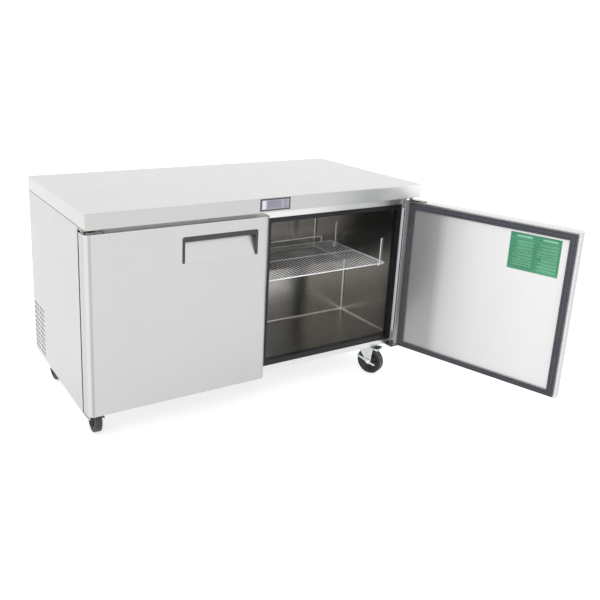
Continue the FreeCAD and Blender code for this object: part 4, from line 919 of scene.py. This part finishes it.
def build_grip_corners(side_name, side):
    """Rounded corners of the skin's window round the grip."""
    bm = bmesh.new()
    radius = GRIP_CORNER_RADIUS
    for edge, way in zip(GRIP_X, (1, -1)):
        centre_x, centre_z = edge + way * radius, GRIP_TOP_Z - radius
        outline = [(edge, GRIP_TOP_Z)]
        for step in range(7):
            angle = math.radians(15 * step)
            outline.append((centre_x - way * radius * math.cos(angle),
                            centre_z + radius * math.sin(angle)))
        add_prism(bm, outline, DOOR_FRONT_Y, DOOR_FRONT_Y + 0.9, "Y")
    piece(side_name + "_grip_corners", bm, side_name + "_door_steel", side_name + "_door",
          door_matrix(side))


# ------------------------------------------------------------------ inside

LINER_GAUGE = 1.0
STEP_Y, STEP_Z = 455.0, 460.0
COVE_FRONT_Y = 128.0
GUARD_RINGS, GUARD_SPOKES = (14, 26, 38, 50, 62, 76), 4


def build_fan_guard():
    """Wire guard of rings and spokes over the evaporator fan's mouth."""
    bm = bmesh.new()
    fan_x, _, fan_z = local(JOINTS["evaporator_fan_spin"]["pos_m"])
    cover_y = local_box("evaporator_cover")[0][1]
    centre = Vector((fan_x, cover_y - 2.6, fan_z))
    for radius in GUARD_RINGS:
        ring = circle(centre, radius, 48, Vector((1, 0, 0)), Vector((0, 0, 1)))
        add_tube(bm, ring, 1.2, 8, closed=True)
    for number in range(GUARD_SPOKES):
        angle = math.radians(45 + 360 / GUARD_SPOKES * number)
        way = Vector((math.cos(angle), 0, math.sin(angle)))
        start = Vector((fan_x, cover_y - 4.8, fan_z)) + way * 14
        add_tube(bm, [start, start + way * 66, start + way * 68 + Vector((0, 5.4, 0))], 1.6, 8)
    piece("evaporator_fan_guard", bm, "wire_coat", "cabinet")


def add_cove(bm, start, end, first, second, radius=7.0):
    """Adds a hollow quarter round along an inside corner, from one face's way to the other's."""
    first, second = Vector(first), Vector(second)
    profile = [Vector()]
    for step in range(7):
        angle = math.radians(15 * step)
        profile.append(radius * (first * (1 - math.sin(angle)) + second * (1 - math.cos(angle))))
    add_solid(bm, [[bm.verts.new(Vector(place) + offset) for offset in profile]
                   for place in (start, end)])


def build_coves():
    """Coved corners of the liner: floor, step and back, on both sides."""
    bm = bmesh.new()
    low, high = local_box("cabinet_liner")
    wall, rear = high[0] - LINER_GAUGE, high[1] - LINER_GAUGE
    floor_z, ceiling_z = low[2] + LINER_GAUGE, high[2] - LINER_GAUGE
    up, ahead = (0, 0, 1), (0, -1, 0)
    for y, z in ((STEP_Y, floor_z), (rear, STEP_Z)):
        add_cove(bm, (-wall, y, z), (wall, y, z), ahead, up)
    for side in (1, -1):
        inward, x = (-side, 0, 0), side * wall
        add_cove(bm, (x, COVE_FRONT_Y, floor_z), (x, STEP_Y, floor_z), inward, up)
        add_cove(bm, (x, STEP_Y, STEP_Z), (x, rear, STEP_Z), inward, up)
        add_cove(bm, (x, STEP_Y, floor_z), (x, STEP_Y, STEP_Z), inward, ahead, 8.0)
        add_cove(bm, (x, rear, STEP_Z), (x, rear, ceiling_z), inward, ahead, 8.0)
    piece("liner_coves", bm, "steel_cove", "cabinet", limit=30)


build_gasket("right", 1)
build_gasket("left", -1)
build_placard_print()
for corner in CORNERS:
    build_fork(corner)
    build_axle(corner)
    build_swivel_race(corner)
    build_brake_link(corner)
    build_wheel(corner)
for corner in ("front_left", "front_right"):
    build_pedal(corner)
build_controller()
build_louvres()
build_beads()
build_hinge_collars()
for side_name, side in (("right", 1), ("left", -1)):
    build_grip_corners(side_name, side)
    build_hinge_arms(side_name, side)
build_fan_guard()
build_coves()


# ------------------------------------------------------------------ stage, light and camera

# Floor and surroundings are both about white, so only a faint shadow shows under the cabinet.
FLOOR_GLOW = 0.62
SURROUNDINGS = 1.3
KEY_PLACE, KEY_TARGET = (-2.6, -3.0, 3.4), (0, 0, 0.5)
KEY_SIZE, KEY_POWER = (3.0, 2.0), 60

# The camera stands at a place in the cabinet's millimetres and is turned by degrees.
CAMERA_PLACE = (-1489.1, -2305.4, 1510.5)
CAMERA_YAW, CAMERA_PITCH, CAMERA_ROLL = 30.91, 15.81, 2.05
CAMERA_LENS = 43.04
CAMERA_SHIFT = (0.083, -0.091)


def build_stage():
    """Pale floor and even white surroundings."""
    bpy.ops.mesh.primitive_plane_add(size=60, location=(0, 0, 0))
    floor = bpy.context.object
    floor.name = "floor"
    paint = Paint("floor_paper", Roughness=0.9)
    cloud = paint.noise(0.8, 3.0)
    paint.colour(paint.ramp(cloud, [(0.3, 0.53), (0.7, 0.57)]))
    paint.shader.inputs["Emission Color"].default_value = (1, 1, 1, 1)
    paint.shader.inputs["Emission Strength"].default_value = FLOOR_GLOW
    floor.data.materials.append(paint.material)

    world = bpy.data.worlds.new("studio")
    bpy.context.scene.world = world
    world.use_nodes = True
    background = world.node_tree.nodes["Background"]
    background.inputs["Color"].default_value = (1, 1, 1, 1)
    background.inputs["Strength"].default_value = SURROUNDINGS


def build_light():
    """One broad, weak light from the front left."""
    data = bpy.data.lights.new("key", "AREA")
    data.shape = "RECTANGLE"
    data.size, data.size_y = KEY_SIZE
    data.energy = KEY_POWER
    lamp = bpy.data.objects.new("key", data)
    bpy.context.scene.collection.objects.link(lamp)
    lamp.location = KEY_PLACE
    way = Vector(KEY_TARGET) - Vector(KEY_PLACE)
    lamp.rotation_euler = way.to_track_quat("-Z", "Y").to_euler()


def build_camera():
    """The camera looks down and to the right at the front left corner of the cabinet."""
    yaw, pitch, roll = (math.radians(angle)
                        for angle in (CAMERA_YAW, CAMERA_PITCH, CAMERA_ROLL))
    forward = Vector((math.sin(yaw) * math.cos(pitch), math.cos(yaw) * math.cos(pitch),
                      -math.sin(pitch)))
    right = Vector((math.cos(yaw), -math.sin(yaw), 0.0))
    up = right.cross(forward)
    side = math.cos(roll) * right + math.sin(roll) * up
    top = -math.sin(roll) * right + math.cos(roll) * up
    data = bpy.data.cameras.new("camera")
    data.sensor_width = 36.0
    data.lens = CAMERA_LENS
    data.shift_x, data.shift_y = CAMERA_SHIFT
    camera = bpy.data.objects.new("camera", data)
    bpy.context.scene.collection.objects.link(camera)
    turn = Matrix((side, top, -forward)).transposed().to_4x4()
    camera.matrix_world = Matrix.Translation(CABINET @ Vector(CAMERA_PLACE)) @ turn
    bpy.context.scene.camera = camera


build_stage()
build_light()
build_camera()
bpy.context.scene.view_settings.view_transform = "Standard"
